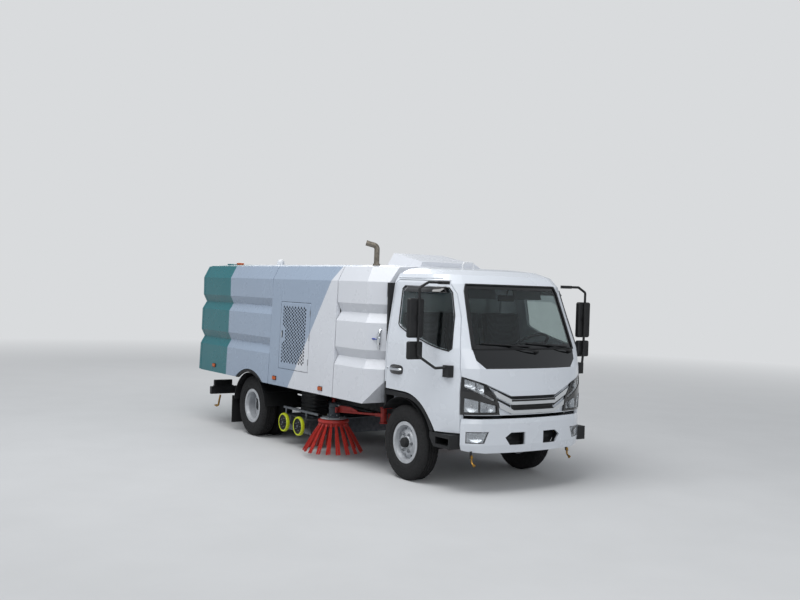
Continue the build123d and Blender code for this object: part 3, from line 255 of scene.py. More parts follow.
class Shape:
    def __init__(self, bm=None):
        self.bm = bm or bmesh.new()

    def face(self, points):
        self.bm.faces.new([self.bm.verts.new(p) for p in points])
        return self

    def box(self, low, high, at=Vector):  # at turns each corner's (x, y, z) into its place
        v = [self.bm.verts.new(at((x, y, z))) for x in (low[0], high[0]) for y in (low[1], high[1])
             for z in (low[2], high[2])]
        for face in ((0, 1, 3, 2), (4, 6, 7, 5), (0, 4, 5, 1), (2, 3, 7, 6), (0, 2, 6, 4), (1, 5, 7, 3)):
            self.bm.faces.new([v[i] for i in face])
        return self

    def skin(self, rows, around=False):  # faces between rows of vertices
        for a, b in zip(rows, rows[1:]):
            for i in range(len(a) if around else len(a) - 1):
                j = (i + 1) % len(a)
                self.bm.faces.new([a[i], a[j], b[j], b[i]])
        return self

    def rings(self, loops, closed=False, capped=True):  # skin over loops that have as many points each
        rows = [[self.bm.verts.new(p) for p in loop] for loop in loops]
        self.skin(rows + rows[:1] if closed else rows, around=True)
        if capped and not closed:
            self.bm.faces.new(rows[0][::-1])
            self.bm.faces.new(rows[-1])
        return self

    def tube(self, path, radius, sides=10, closed=False):  # a round section carried along a line of points
        points = [Vector(p) for p in path]
        radii = radius if isinstance(radius, list) else [radius] * len(points)
        loops, side = [], None
        for i, p in enumerate(points):
            before = points[i - 1] if i or closed else p
            after = points[(i + 1) % len(points)] if i + 1 < len(points) or closed else p
            ahead = (after - before).normalized()
            side = side or ahead.orthogonal().normalized()
            side = (side - ahead * side.dot(ahead)).normalized()
            up = ahead.cross(side)
            loops.append([p + radii[i] * (c * side + s * up) for c, s in circle(sides)])
        return self.rings(loops, closed)

    def lathe(self, profile, origin, axis, sides=32):  # profile: (distance from the axis, place along it)
        along = Vector(axis).normalized()
        side = along.orthogonal().normalized()
        up = along.cross(side)
        return self.rings([[Vector(origin) + r * (c * side + s * up) + a * along for r, a in profile]
                           for c, s in circle(sides)], closed=True)

    def solid(self, profile, origin, axis, sides=16, core=0.001):  # lathe whose profile starts and ends at the axis
        return self.lathe([(core, profile[0][1]), *profile, (core, profile[-1][1])], origin, axis, sides)

    def patch(self, corners, across, up, surface):  # a grid between four (a, b) corners, put on a surface
        (a0, b0), (a1, b1), (a2, b2), (a3, b3) = corners
        rows = []
        for v in (j / up for j in range(up + 1)):
            rows.append([self.bm.verts.new(surface((a0 * (1 - u) + a1 * u) * (1 - v) + (a3 * (1 - u) + a2 * u) * v,
                                                   (b0 * (1 - u) + b1 * u) * (1 - v) + (b3 * (1 - u) + b2 * u) * v))
                         for u in (i / across for i in range(across + 1))])
        return self.skin(rows)

    def nut(self, centre, outward, acrossFlats, height):  # a hexagon nut with the stud's end standing out of it
        r = acrossFlats / sqrt(3)
        self.solid([(r * 0.8, height), (r, height * 0.8), (r, 0)], centre, outward, 6, 0.0005)
        stud = [(0.0005, height + 0.012), (r * 0.42, height + 0.012), (r * 0.5, height + 0.009), (r * 0.5, 0)]
        return self.lathe(stud, centre, outward, 12)

    def nutRing(self, count, ring, centre, outward, acrossFlats, height):
        for c, s in circle(count):
            spot = Vector(centre) + ring * Vector((c, 0, s) if outward[1] else (c, s, 0))
            self.nut(spot, outward, acrossFlats, height)
        return self

    def mirrored(self):
        copy = Shape(self.bm.copy())
        bmesh.ops.scale(copy.bm, vec=(1, -1, 1), verts=copy.bm.verts)
        bmesh.ops.reverse_faces(copy.bm, faces=copy.bm.faces)
        return copy

    def build(self, name, material, angle=35):
        bmesh.ops.recalc_face_normals(self.bm, faces=self.bm.faces)
        mesh = bpy.data.meshes.new(name)
        self.bm.to_mesh(mesh)
        self.bm.free()
        for polygon in mesh.polygons:
            polygon.use_smooth = True
        mesh.set_sharp_from_angle(angle=radians(angle))
        mesh.materials.append(material)
        return addObject(name, mesh)

    def place(self, name, look, body="chassis", slot=None, bevel=0.0, segments=2, angle=35, sheet=None,
              replaces=None):  # sheet: thickness and the side that it grows to
        obj = self.build(name, looks[look][0], angle)
        if sheet:
            skin = obj.modifiers.new("thickness", "SOLIDIFY")
            skin.thickness, skin.offset = sheet
        if bevel:
            rounding = obj.modifiers.new("edges", "BEVEL")
            rounding.width, rounding.segments = bevel, segments
            rounding.limit_method, rounding.angle_limit = "ANGLE", radians(40)
        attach(obj, body)
        if replaces:
            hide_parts(replaces)
        return obj


def bothSides(shape, name, look, body="chassis", replaces="", **options):  # the right-hand piece and its mirror image
    left = shape.mirrored()
    for half, side in ((shape, "right"), (left, "left")):
        half.place(name + side.capitalize(), look, body.format(side), replaces=replaces.format(side), **options)


trees = {}


def touch(origin, direction, *names):  # where a line from origin first meets any of these CAD nodes
    hits = []
    for name in names:
        if name not in trees:
            mesh = nodes[name].data
            trees[name] = BVHTree.FromPolygons([v.co for v in mesh.vertices], [p.vertices for p in mesh.polygons])
        hits.append(trees[name].ray_cast(Vector(origin), Vector(direction)))
    hits = [(distance, hit, normal) for hit, normal, index, distance in hits if hit]
    return min(hits, key=lambda h: h[0])[1:] if hits else (None, None)


def onSide(node, x, z, out=0.0):  # a point on a node's right-hand side, out metres proud of it
    hit, normal = touch((x, -2.0, z), (0, 1, 0), node)
    return Vector((x, hit.y, z)) + normal * out


def rearOf(node, y, z):
    return touch((-4.0, y, z), (1, 0, 0), node)[0].x


def frontOf(*names, out=0.0):  # puts (y, z) on whichever of these nodes is foremost there
    def surface(y, z):
        hit, normal = touch((4.0, y, z), (-1, 0, 0), *names)
        return hit + normal * out
    return surface


def smoothLine(points, perSpan=6):  # Catmull-Rom through a few chosen points
    pts = [Vector(p) for p in points]
    line = []
    for i, (p1, p2) in enumerate(zip(pts, pts[1:])):
        p0 = pts[i - 1] if i else p1
        p3 = pts[i + 2] if i + 2 < len(pts) else p2
        for k in range(perSpan):
            t = k / perSpan
            line.append(0.5 * (2 * p1 + (p2 - p0) * t + (2 * p0 - 5 * p1 + 4 * p2 - p3) * t * t
                               + (3 * p1 - p0 - 3 * p2 + p3) * t ** 3))
    return line + [pts[-1]]


def dense(points, step):  # more points along the straight edges of an outline
    line = []
    for a, b in zip(points, points[1:] + points[:1]):
        a, b = Vector(a), Vector(b)
        parts = max(1, round((b - a).length / step))
        line += [tuple(a.lerp(b, k / parts)) for k in range(parts)]
    return line


def grown(points, amount):  # an outline pushed out from its middle
    cy, cz = (sum(p[i] for p in points) / len(points) for i in (0, 1))
    return [(y + (amount if y > cy else -amount), z + (amount if z > cz else -amount)) for y, z in points]


shownNodes = {  # {} stands for each side
    "livery": ["hopper_shell", "tailgate", "engine_cover", "water_tank"],
    "whitePolyurethanePaint": ["cab_shell", "door_{}", "front_bumper"],
    "blackChassisEnamel": ["chassis_frame", "tow_eyes", "front_axle", "rear_axle", "fuel_tank", "rear_bumper",
                           "ram_barrel_{}"],
    "redEnamel": ["rail_brackets", "brush_post_{}"],
    "dustyEngineEnamel": ["driveline", "machine_engine"],
    "castIron": ["knuckle_{}"],
    "grainedPolypropylene": ["cab_trim", "rear_mudguards", "air_intake", "tail_lamps", "mirror_{}"],
    "glossBlackAbs": ["windscreen_mask", "headlamp_frames"],
    "lampPolycarbonate": ["lamp_lenses"],
    "floatGlass": ["cab_glass", "door_glass_{}"],
    "chromePlate": ["grille_bars"],
    "greyDashboardAbs": ["dashboard"],
    "wornSheetSteel": ["suction_nozzle"],
    "scaledExhaustSteel": ["exhaust_pipe"],
    "silverWheelEnamel": ["front_rim_{}", "rear_rims_{}"],
    "hardChromeRod": ["ram_rod_{}"],
}
for look, patterns in shownNodes.items():
    for name in {pattern.format(side) for pattern in patterns for side in ("right", "left")}:
        nodes[name].data.materials.clear()
        nodes[name].data.materials.append(looks[look][0])
print("shown CAD nodes have their looks")

# Camera, fitted to the photograph
camera = {"place": (10.259, -6.744, 1.992), "headingPitchRoll": (145.44, -0.77, 1.86), "lensMm": 44.87}


def addCamera(spec):
    heading, pitch, roll = (radians(degrees) for degrees in spec["headingPitchRoll"])
    ahead = Vector((cos(heading) * cos(pitch), sin(heading) * cos(pitch), sin(pitch)))
    right = ahead.cross(Vector((0, 0, 1))).normalized()
    up = right.cross(ahead)
    right, up = right * cos(roll) + up * sin(roll), up * cos(roll) - right * sin(roll)
    data = bpy.data.cameras.new("camera")
    data.sensor_width, data.lens, data.clip_end = 36.0, spec["lensMm"], 500.0
    obj = addObject("camera", data)
    obj.matrix_world = Matrix.Translation(spec["place"]) @ Matrix((right, up, -ahead)).transposed().to_4x4()
    bpy.context.scene.camera = obj


addCamera(camera)

# Studio: a pale floor that runs into a pale background, one large key light and a soft fill
studio = {
    "backdrop": "#D9DBDD", "floor": "#C4C5C6", "floorRadius": 180, "fade": (5.0, 22.0),
    "sky": "#E9EEF4", "skyStrength": 0.5,
}
lights = [
    # name, place, what it points at, width and height in metres, watts
    ("key", (2.0, -5.0, 10.5), (0.0, 0.0, 1.0), 10.0, 7.0, 980),
    ("fill", (11.0, -3.0, 4.5), (1.5, 0.0, 1.2), 6.0, 4.0, 170),
    ("rear", (-9.0, 3.0, 6.5), (-1.0, 0.0, 1.5), 6.0, 4.0, 260),
]


def addStudio(s):
    world = bpy.data.worlds.new("studio")
    world.use_nodes = True
    bpy.context.scene.world = world
    tree = world.node_tree
    tree.nodes.clear()
    seen = addNode(tree, "Background", {"Color": linear(s["backdrop"]), "Strength": 1.0})
    light = addNode(tree, "Background", {"Color": linear(s["sky"]), "Strength": s["skyStrength"]})
    rays = addNode(tree, "LightPath")
    mix = addNode(tree, "MixShader",
                  links={0: rays.outputs["Is Camera Ray"], 1: light.outputs[0], 2: seen.outputs[0]})
    addNode(tree, "OutputWorld", links={"Surface": mix.outputs[0]})

    material, tree, place = startMaterial("studioFloor")
    length = addNode(tree, "VectorMath", {"operation": "LENGTH"}, {0: place})
    fade = addNode(tree, "MapRange", {"From Min": s["fade"][0], "From Max": s["fade"][1]},
                   {"Value": length.outputs["Value"]})
    matt = addNode(tree, "BsdfDiffuse", {"Roughness": 0.6},
                   {"Color": cloudy(tree, place, 900, linear(s["floor"]), linear(s["floor"], 0.97))})
    glow = addNode(tree, "Emission", {"Color": linear(s["backdrop"]), "Strength": 1.0})
    blend = addNode(tree, "MixShader", links={0: fade.outputs[0], 1: matt.outputs[0], 2: glow.outputs[0]})
    addNode(tree, "OutputMaterial", links={"Surface": blend.outputs[0]})
    floor = Shape().face([(s["floorRadius"] * c, s["floorRadius"] * n, 0.0) for c, n in circle(64)])
    floor.build("studioFloor", material)
    for name, place, target, width, height, watts in lights:
        data = bpy.data.lights.new(name, "AREA")
        data.shape, data.size, data.size_y, data.energy = "RECTANGLE", width, height, watts
        lamp = addObject(name, data)
        lamp.location = place
        lamp.rotation_euler = (Vector(target) - Vector(place)).to_track_quat("-Z", "Y").to_euler()
    bpy.context.scene.view_settings.view_transform = "Standard"


addStudio(studio)
print("camera and studio ready")

# Body sides. Half width and height of each fold of the body, from the roof down, as the frame has them
bodyFolds = [(0.600, 2.226), (0.962, 2.196), (1.045, 2.035), (1.043, 1.797), (0.994, 1.699), (1.055, 1.598),
             (1.060, 1.309), (1.012, 1.213), (1.068, 1.111), (1.080, 0.744)]
flatFolds = [bodyFolds[i] for i in (0, 1, 2, 9)]
seamStrips = [
    # name, look, body, folds, rear end x, length, inset, depth, sill
    ("tankSeamSeal", "epdmSeal", "chassis", bodyFolds, truck["seamX"] + 0.0005, 0.009, 0.006, 0.02, 0.75),
    ("hopperSeamFlange", "livery", "chassis", flatFolds, truck["grooveEndX"] - 0.006, 0.0057, 0.004, 0.02, 0.75),
    ("tailgateSeal", "epdmSeal", "hopper", bodyFolds, truck["bodyRearX"] - 0.0075, 0.0072, 0.01, 0.016, 0.77),
]


def foldLine(folds, inset):  # from the right-hand sill over the roof to the left-hand sill
    right = [(-w + inset, z - inset if i < 2 else z) for i, (w, z) in enumerate(folds)]
    return right[::-1] + [(-y, z) for y, z in right]


for name, look, body, folds, x0, length, inset, depth, sill in seamStrips:
    outer, inner = foldLine(folds, inset), foldLine(folds, inset + depth)
    for line in (outer, inner):
        line[0], line[-1] = (line[0][0], sill), (line[-1][0], sill)
    Shape().rings([[(x0, y0, z0), (x0 + length, y0, z0), (x0 + length, y1, z1), (x0, y1, z1)]
                   for (y0, z0), (y1, z1) in zip(outer, inner)]).place(name, look, body)

meshDoor = {
    "x": (rearX + 0.911, rearX + 1.630), "z": (0.963, 1.761),
    "pitch": 0.041, "holeRadius": 0.0145,
    "fieldX": (rearX + 0.955, rearX + 1.55), "fieldZ": (1.035, 1.71),
    "notchX": rearX + 1.0, "notchZ": 1.374, "notchHalf": (0.052, 0.085),
    "sheet": 0.002, "depth": 0.024, "flange": 0.03,
    "hingeLine": (0.185, -1.07606, 0.963), "hingeLean": 0.0271, "hingeZs": (1.08, 1.362, 1.644),
    "latchX": rearX + 0.968,
}


def flatSideY(z, inside=0.0):
    (w1, z1), (w0, z0) = flatFolds[2], flatFolds[3]
    return inside - w0 - (w1 - w0) * (z - z0) / (z1 - z0)


def makeMesh(d):  # six-sided cells, each with a round hole inside the field
    (x0, x1), (z0, z1), pitch, hole = d["x"], d["z"], d["pitch"], d["holeRadius"]
    columnStep = pitch * sqrt(3) / 2
    door = Shape()
    bm = door.bm
    for i in range(-2, int((x1 - x0) / columnStep) + 4):
        for j in range(-2, int((z1 - z0) / pitch) + 4):
            cx, cz = x0 + i * columnStep, z0 + (j + 0.5 * (i % 2)) * pitch
            reaches = (pitch / sqrt(3), pitch / 2)
            rim = [bm.verts.new((cx + reaches[k % 2] * c, 0, cz + reaches[k % 2] * s))
                   for k, (c, s) in enumerate(circle(12))]
            inField = d["fieldX"][0] < cx < d["fieldX"][1] and d["fieldZ"][0] < cz < d["fieldZ"][1]
            inNotch = abs(cx - d["notchX"]) < d["notchHalf"][0] and abs(cz - d["notchZ"]) < d["notchHalf"][1]
            if inField and not inNotch:
                door.skin([rim, [bm.verts.new((cx + hole * c, 0, cz + hole * s)) for c, s in circle(12)]], around=True)
            else:
                bm.faces.new(rim)
    bmesh.ops.remove_doubles(bm, verts=bm.verts, dist=1e-5)
    for point, normal in (((x0, 0, 0), (-1, 0, 0)), ((x1, 0, 0), (1, 0, 0)), ((0, 0, z0), (0, 0, -1)),
                          ((0, 0, z1), (0, 0, 1))):
        bmesh.ops.bisect_plane(bm, geom=bm.verts[:] + bm.edges[:] + bm.faces[:], plane_co=point, plane_no=normal,
                               clear_outer=True)
    for vertex in bm.verts:
        vertex.co.y = flatSideY(vertex.co.z)
    return door


def makeMeshFlange(d):
    (x0, x1), (z0, z1), f, deep = d["x"], d["z"], d["flange"], d["depth"]
    shape = Shape()
    for a0, a1, b0, b1, near in ((x0, x0 + 0.003, z0, z1, 0.001), (x1 - 0.003, x1, z0, z1, 0.001),
                                 (x0, x1, z0, z0 + 0.003, 0.001), (x0, x1, z1 - 0.003, z1, 0.001),
                                 (x0, x0 + f, z0, z1, deep - 0.003), (x1 - f, x1, z0, z1, deep - 0.003)):
        shape.rings([[(x, flatSideY(z, t), z) for x, t in ((a0, near), (a1, near), (a1, deep), (a0, deep))]
                     for z in (b0, b1)])
    return shape


bothSides(makeMesh(meshDoor), "meshDoorSkin", "livery", "mesh_door_{}", "mesh_door_{}", angle=60,
          sheet=(meshDoor["sheet"], -1.0))
bothSides(makeMeshFlange(meshDoor), "meshDoorFlange", "livery", "mesh_door_{}")
latchX, latchZ = meshDoor["latchX"], meshDoor["notchZ"]
latchY = flatSideY(latchZ)
bothSides(Shape().box((latchX - 0.014, latchY - 0.004, latchZ - 0.042),
                      (latchX + 0.014, latchY + 0.012, latchZ + 0.042)),
          "meshDoorLatchCup", "grainedPolypropylene", "mesh_door_{}", bevel=0.005)
bothSides(Shape().tube([(latchX, latchY - out, latchZ + dz) for out, dz in ((0.006, -0.03), (0.009, 0), (0.006, 0.03))],
                       0.005, 12), "meshDoorLatchLever", "chromePlate", "mesh_door_{}")
hinges = Shape()  # barrels on the mesh door's hinge line
(hingeX, hingeY, hingeZ), lean = meshDoor["hingeLine"], meshDoor["hingeLean"]
for middle in meshDoor["hingeZs"]:
    hinges.tube([(hingeX, hingeY + lean * (z - hingeZ), z) for z in (middle - 0.035, middle + 0.035)], 0.0055, 12)
bothSides(hinges, "meshDoorHinge", "zincPlatedSteel", "mesh_door_{}")

markers = [
    # node it sits on, body, x, z
    ("hopper_shell", "hopper", rearX - 0.952, 0.836),
    ("engine_cover", "chassis", rearX + 0.828, 0.829),
    ("engine_cover", "chassis", rearX + 1.947, 0.812),
]
for i, (node, body, x, z) in enumerate(markers):
    y = onSide(node, x, z).y
    bothSides(Shape().box((x - 0.047, y - 0.006, z - 0.026), (x + 0.047, y + 0.004, z + 0.026)),
              f"markerBase{i}", "grainedPolypropylene", body, bevel=0.004)
    lens = Shape()
    for middle in (x - 0.022, x + 0.022):
        lens.box((middle - 0.020, y - 0.015, z - 0.020), (middle + 0.020, y - 0.005, z + 0.020))
    bothSides(lens, f"markerLens{i}", "amberAcrylic", body, bevel=0.004, segments=3)

# Rear face: lamp bands on the clusters, a blank plate and two latches
tail = {
    "y": (-0.878, -0.632), "z": (0.524, 0.580), "ribs": 6,
    "bands": [(0.0, 0.34, "amberAcrylic", "turn"), (0.34, 0.72, "redAcrylic", "stop"),
              (0.72, 1.0, "lampPolycarbonate", "reverse")],  # share of the width, look, name
    "plateHalf": 0.22, "plateZ": (0.400, 0.495), "latchYs": {"Right": -0.62, "Left": 0.62},
}
tailFace = rearOf("tail_lamps", -0.75, 0.55)
(ty0, ty1), (tz0, tz1) = tail["y"], tail["z"]
for low, high, look, label in tail["bands"]:
    y0, y1 = ty0 + (ty1 - ty0) * low, ty0 + (ty1 - ty0) * high
    lens = Shape().box((tailFace - 0.006, y0 + 0.002, tz0), (tailFace + 0.004, y1 - 0.002, tz1))
    for k in range(1, tail["ribs"] + 1):
        z = tz0 + (tz1 - tz0) * k / (tail["ribs"] + 1)
        lens.box((tailFace - 0.0075, y0 + 0.004, z - 0.0015), (tailFace - 0.005, y1 - 0.004, z + 0.0015))
    bothSides(lens, "tailLens" + label, look, bevel=0.0015)
plateX, (pz0, pz1) = rearOf("rear_bumper", 0.0, 0.45), tail["plateZ"]
Shape().box((plateX - 0.0045, -tail["plateHalf"], pz0), (plateX - 0.0005, tail["plateHalf"], pz1)).place(
    "blankPlate", "whiteEnamel", bevel=0.002)
for side, y in tail["latchYs"].items():
    x = rearOf("tailgate", y, 0.86)
    hook = Shape().box((x - 0.012, y - 0.022, 0.80), (x - 0.001, y + 0.022, 0.92))
    hook.tube([(x - 0.014, y, 0.835), (x - 0.018, y, 0.86), (x - 0.018, y, 0.90)], 0.006, 12)
    hook.place("tailgateLatch" + side, "zincPlatedSteel", "tailgate", bevel=0.002)

# A black lip inside the hopper's arch, and a ribbed liner over each front wheel
arch = {"x": rearX + 0.11, "z": 0.236, "radius": 0.6395, "lip": 0.04, "y": (-1.068, -1.046), "degrees": (52.5, 127.5)}
liner = {"radius": 0.465, "y": (-0.900, -0.470), "degrees": (12, 138), "sheet": 0.003, "rib": 0.003}


def archStrip(centre, degrees, steps, y, radii):  # radii: a step's outer and inner radius
    loops = []
    for k in range(steps + 1):
        t = radians(degrees[0] + (degrees[1] - degrees[0]) * k / steps)
        outer, inner = radii(k)
        loops.append([(centre[0] + r * cos(t), a, centre[1] + r * sin(t))
                      for r, a in ((outer, y[0]), (outer, y[1]), (inner, y[1]), (inner, y[0]))])
    return Shape().rings(loops)


def lipRadii(k):  # the lip runs out at both ends
    return arch["radius"], arch["radius"] - arch["lip"] * min(1.0, k / 3 + 0.2, (40 - k) / 3 + 0.2)


def linerRadii(k):
    inner = liner["radius"] + liner["rib"] * ((k // 3) % 2)
    return inner + liner["sheet"], inner


bothSides(archStrip((arch["x"], arch["z"]), arch["degrees"], 40, arch["y"], lipRadii), "archLip", "epdmSeal", "hopper")
bothSides(archStrip((frontX, truck["tyreRadius"]), liner["degrees"], 48, liner["y"], linerRadii), "frontWheelLiner",
          "grainedPolypropylene")
print("body sides done")

# Wheels
tread = {
    "segments": 180, "depth": 0.009, "zigzag": 0.0035,
    "grooves": (-0.046, -0.016, 0.016, 0.046), "grooveHalf": 0.004,  # across the tread, from its middle
    "lugEvery": 6, "lugInner": 0.058, "lugDepth": 0.006,
    "wallRings": ((0.05, 0.0035, 0.002), (0.115, 0.0025, 0.004)),  # out from the rim, height, how deep it starts
}


def tyreSection(t):  # (across, radius) from one bead to the other, as the frame's tyre is
    half, r, rim = truck["tyreWidth"] / 2, truck["tyreRadius"], truck["rimRadius"]
    wall = [(0.022 - half, rim - 0.008), (0.021 - half, rim + 0.003), (0.006 - half, rim + 0.02),
            (0.001 - half, rim + 0.05), (-half, rim + 0.085), (0.002 - half, rim + 0.12), (0.010 - half, r - 0.026),
            (0.020 - half, r - 0.009)]
    edges = sorted(g + k * t["grooveHalf"] for g in t["grooves"] for k in (-1.6, -1, 1, 1.6))
    return wall + [(a, r) for a in (0.034 - half, *edges, half - 0.034)] + [(-a, b) for a, b in reversed(wall)]


def addTyre(shape, t, x, y):
    z = crown = truck["tyreRadius"]
    section, rows = tyreSection(t), []
    for k, (c, s) in enumerate(circle(t["segments"])):
        row = []
        for across, radius in section:
            a, r = across, radius
            gap = min(abs(across - g) for g in t["grooves"])
            if radius == crown and gap < t["grooveHalf"] * 1.7:
                a += t["zigzag"] * (1 if (k // 3) % 2 else -1)
                r -= t["depth"] if gap < t["grooveHalf"] * 1.3 else 0
            if abs(across) > t["lugInner"] and radius > crown - 0.03 and k % t["lugEvery"] == 0:
                r -= t["lugDepth"]
            row.append(shape.bm.verts.new((x + r * c, y + a, z + r * s)))
        rows.append(row)
    shape.skin(rows + rows[:1])
    for side in (-1, 1):
        for out, height, sunk in t["wallRings"]:
            r = truck["rimRadius"] + out
            wallY = y + side * (truck["tyreWidth"] / 2 - sunk)
            shape.lathe([(r - 0.004, 0), (r, height), (r + 0.004, 0)], (x, wallY, z), (0, side, 0), 90)


twin = truck["twinSpacing"] / 2
wheelSets = [
    # node, body, centre x, tyre middles
    ("front_tyre", "front_wheel", frontX, [truck["frontWheelY"]]),
    ("rear_tyres", "rear_wheels", rearX, [truck["rearWheelY"] - twin, truck["rearWheelY"] + twin]),
]
for node, body, x, middles in wheelSets:
    shape = Shape()
    for y in middles:
        addTyre(shape, tread, x, -y)
    bothSides(shape, node + "Tread", "tyreRubber", body + "_{}", node + "_{}", angle=30)
print("tyres done")

wheelNuts = {"count": 6, "circle": 0.096, "flats": 0.030, "height": 0.016}
hubs = [
    # body, x, y of the disc's outer face, cap reach beyond it, cap radius, cap look
    ("front_wheel", frontX, -truck["frontWheelY"] - 0.058, 0.045, 0.052, "blackChassisEnamel"),
    ("rear_wheels", rearX, -truck["rearWheelY"] - 0.022, 0.085, 0.07, "castIron"),
]
for body, x, y, reach, r, look in hubs:
    z = truck["tyreRadius"]
    nuts = Shape().nutRing(wheelNuts["count"], wheelNuts["circle"], (x, y, z), (0, -1, 0), wheelNuts["flats"],
                           wheelNuts["height"])
    bothSides(nuts, body + "Nuts", "zincPlatedSteel", body + "_{}", angle=20)
    cap = Shape().lathe([(0.001, reach + 0.012), (r * 0.55, reach + 0.012), (r * 0.9, reach + 0.004),
                         (r, reach - 0.006), (r, 0.0), (r + 0.008, -0.001)], (x, y, z), (0, -1, 0), 32)
    bothSides(cap, body + "Cap", look, body + "_{}", slot="frame_paint")
print("wheel nuts and hubs done")

# Side brush
brushGear = {
    "centre": Vector((rearX + 1.8, -0.8, 0)), "plateZ": 0.42, "plateRadius": 0.18, "tipRadius": 0.35, "tipZ": 0.068,
    "tufts": 18, "bristles": 64, "bristleRadius": 0.0016, "boltCircle": 0.1,
}


def makeBrush(g):  # the plate with a clamp round the root of each tuft, and the tufts' bristles
    r, z, low = g["plateRadius"], g["plateZ"], g["plateZ"] - 0.03
    head = Shape().lathe([(0.02, 0.018), (r - 0.02, 0.018), (r - 0.004, 0.012), (r, 0.004), (r, -0.012),
                          (r - 0.012, -0.020), (r - 0.040, -0.058), (r - 0.055, -0.060), (r - 0.07, -0.03),
                          (0.02, -0.03)], g["centre"] + Vector((0, 0, z)), (0, 0, 1), 64)
    tufts = Shape()
    for c, s in circle(g["tufts"]):
        out, across = Vector((c, s, 0)), Vector((-s, c, 0))
        top = g["centre"] + lift(low) + out * (r - 0.028)
        down = (out * (g["tipRadius"] - r + 0.028) + lift(g["tipZ"] - low)).normalized()
        head.tube([top - down * 0.004, top + down * 0.034], [0.016, 0.0135], 12)
        tip = g["centre"] + lift(g["tipZ"]) + out * (g["tipRadius"] - 0.006)
        for k in range(g["bristles"]):
            a = random.uniform(-1, 1)
            b = random.uniform(-1, 1) * sqrt(max(0.0, 1 - 0.6 * a * a))
            start = top + across * (a * 0.011) + out * (b * 0.006)
            end = tip + across * (a * 0.026 + random.uniform(-0.003, 0.003)) + out * (b * 0.010)
            end += (tip - top).normalized() * random.uniform(-0.016, 0.0)
            middle = (start + end) / 2 + out * random.uniform(-0.004, 0.006) + lift(0.006)
            line = [start, (start + middle) / 2 + lift(0.002), middle, (middle + end) / 2, end]
            tufts.tube(line, [g["bristleRadius"]] * 4 + [g["bristleRadius"] * 0.7], 4)
    return head, tufts


brushHead, brushTufts = makeBrush(brushGear)
bothSides(brushHead, "brushHead", "redEnamel", "brush_{}", "brush_{}")
bothSides(brushTufts, "brushBristles", "redNylonBristle", "brush_{}")
centre = brushGear["centre"]
bolts = Shape().nutRing(6, brushGear["boltCircle"], centre + lift(0.438), (0, 0, 1), 0.017, 0.008)
bolts.tube([centre + lift(0.43), centre + lift(0.455)], 0.015, 16)
bothSides(bolts, "brushBolts", "zincPlatedSteel", "brush_{}", angle=20)
print("brushes done")

# Nozzle wheels: a yellow polyurethane tyre on a black moulded hub
nozzleWheels = {"xs": (rearX + 0.79, rearX + 1.165), "y": -0.905, "z": 0.272, "radius": 0.115, "bolts": 5,
                "boltCircle": 0.053}


def evenProfile(half):  # a lathe profile and its mirror image
    return half + [(r, -a) for r, a in half[::-1]]


for i, x in enumerate(nozzleWheels["xs"], 1):
    centre, r = (x, nozzleWheels["y"], nozzleWheels["z"]), nozzleWheels["radius"]
    rubber = Shape().lathe(evenProfile([(r - 0.021, -0.020), (r - 0.008, -0.022), (r - 0.002, -0.017), (r, -0.010)])
                           + [(r - 0.024, 0.0)], centre, (0, 1, 0), 64)
    hub = Shape().lathe(evenProfile([(0.0145, -0.020), (0.032, -0.020), (0.036, -0.011), (0.07, -0.007),
                                     (r - 0.030, -0.012), (r - 0.022, -0.019)]), centre, (0, 1, 0), 48)
    bolts = Shape().nutRing(nozzleWheels["bolts"], nozzleWheels["boltCircle"], (x, centre[1] - 0.009, centre[2]),
                            (0, -1, 0), 0.011, 0.005)
    body = f"nozzle_wheel_{{}}_{i}"
    bothSides(rubber, f"nozzleWheelTyre{i}", "yellowPolyurethane", body, body)
    bothSides(hub, f"nozzleWheelHub{i}", "grainedPolypropylene", body)
    bothSides(bolts, f"nozzleWheelBolts{i}", "zincPlatedSteel", body, angle=20)
print("nozzle wheels done")

# Windscreen: its seal, the black band round the glass and two wipers
windscreen = {
    "half": [(0.664, 1.412), (0.640, 1.700), (0.612, 1.960), (0.585, 2.030)],
    "sealRadius": 0.0095, "bandWidth": 0.034, "bandEdge": 0.004,
    "wipers": [((0.10, 1.375), (0.03, 1.43), (-0.56, 1.462)), ((0.60, 1.375), (0.57, 1.425), (0.00, 1.462))],
}  # wipers: y and z of the spindle, the blade's heel and its tip
screenHalf = windscreen["half"]
shellFront = frontOf("cab_shell", "windscreen_mask", out=0.001)
sealLine = [shellFront(y, z) for y, z in dense(grown(screenHalf + [(-y, z) for y, z in screenHalf[::-1]], 0.005), 0.05)]
Shape().tube(sealLine, windscreen["sealRadius"], 10, closed=True).place("windscreenSeal", "epdmSeal")
band, glassFront = Shape(), frontOf("cab_glass", out=0.0012)
width, edge = windscreen["bandWidth"], windscreen["bandEdge"]
low, top = screenHalf[0][1] + edge, screenHalf[-1][1] - edge
wLow, wTop = screenHalf[0][0] - edge, screenHalf[-1][0] - edge
band.patch([(-wLow, low), (wLow, low), (wLow - 0.003, low + width), (-wLow + 0.003, low + width)], 30, 2, glassFront)
band.patch([(-wTop - 0.01, top - width), (wTop + 0.01, top - width), (wTop, top), (-wTop, top)], 26, 2, glassFront)
for side in (-1, 1):
    for (w0, z0), (w1, z1) in zip(screenHalf, screenHalf[1:]):
        z0, z1, w0, w1 = max(z0, low), min(z1, top), w0 - edge, w1 - edge
        band.patch([(side * (w0 - width), z0), (side * w0, z0), (side * w1, z1), (side * (w1 - width), z1)], 2, 8,
                   glassFront)
band.place("windscreenBand", "glossBlackAbs")
onGlass = frontOf("cab_glass", "windscreen_mask")


def proud(point, x, z=0.0):  # a point x in front of the windscreen
    return onGlass(*point) + Vector((x, 0, z))


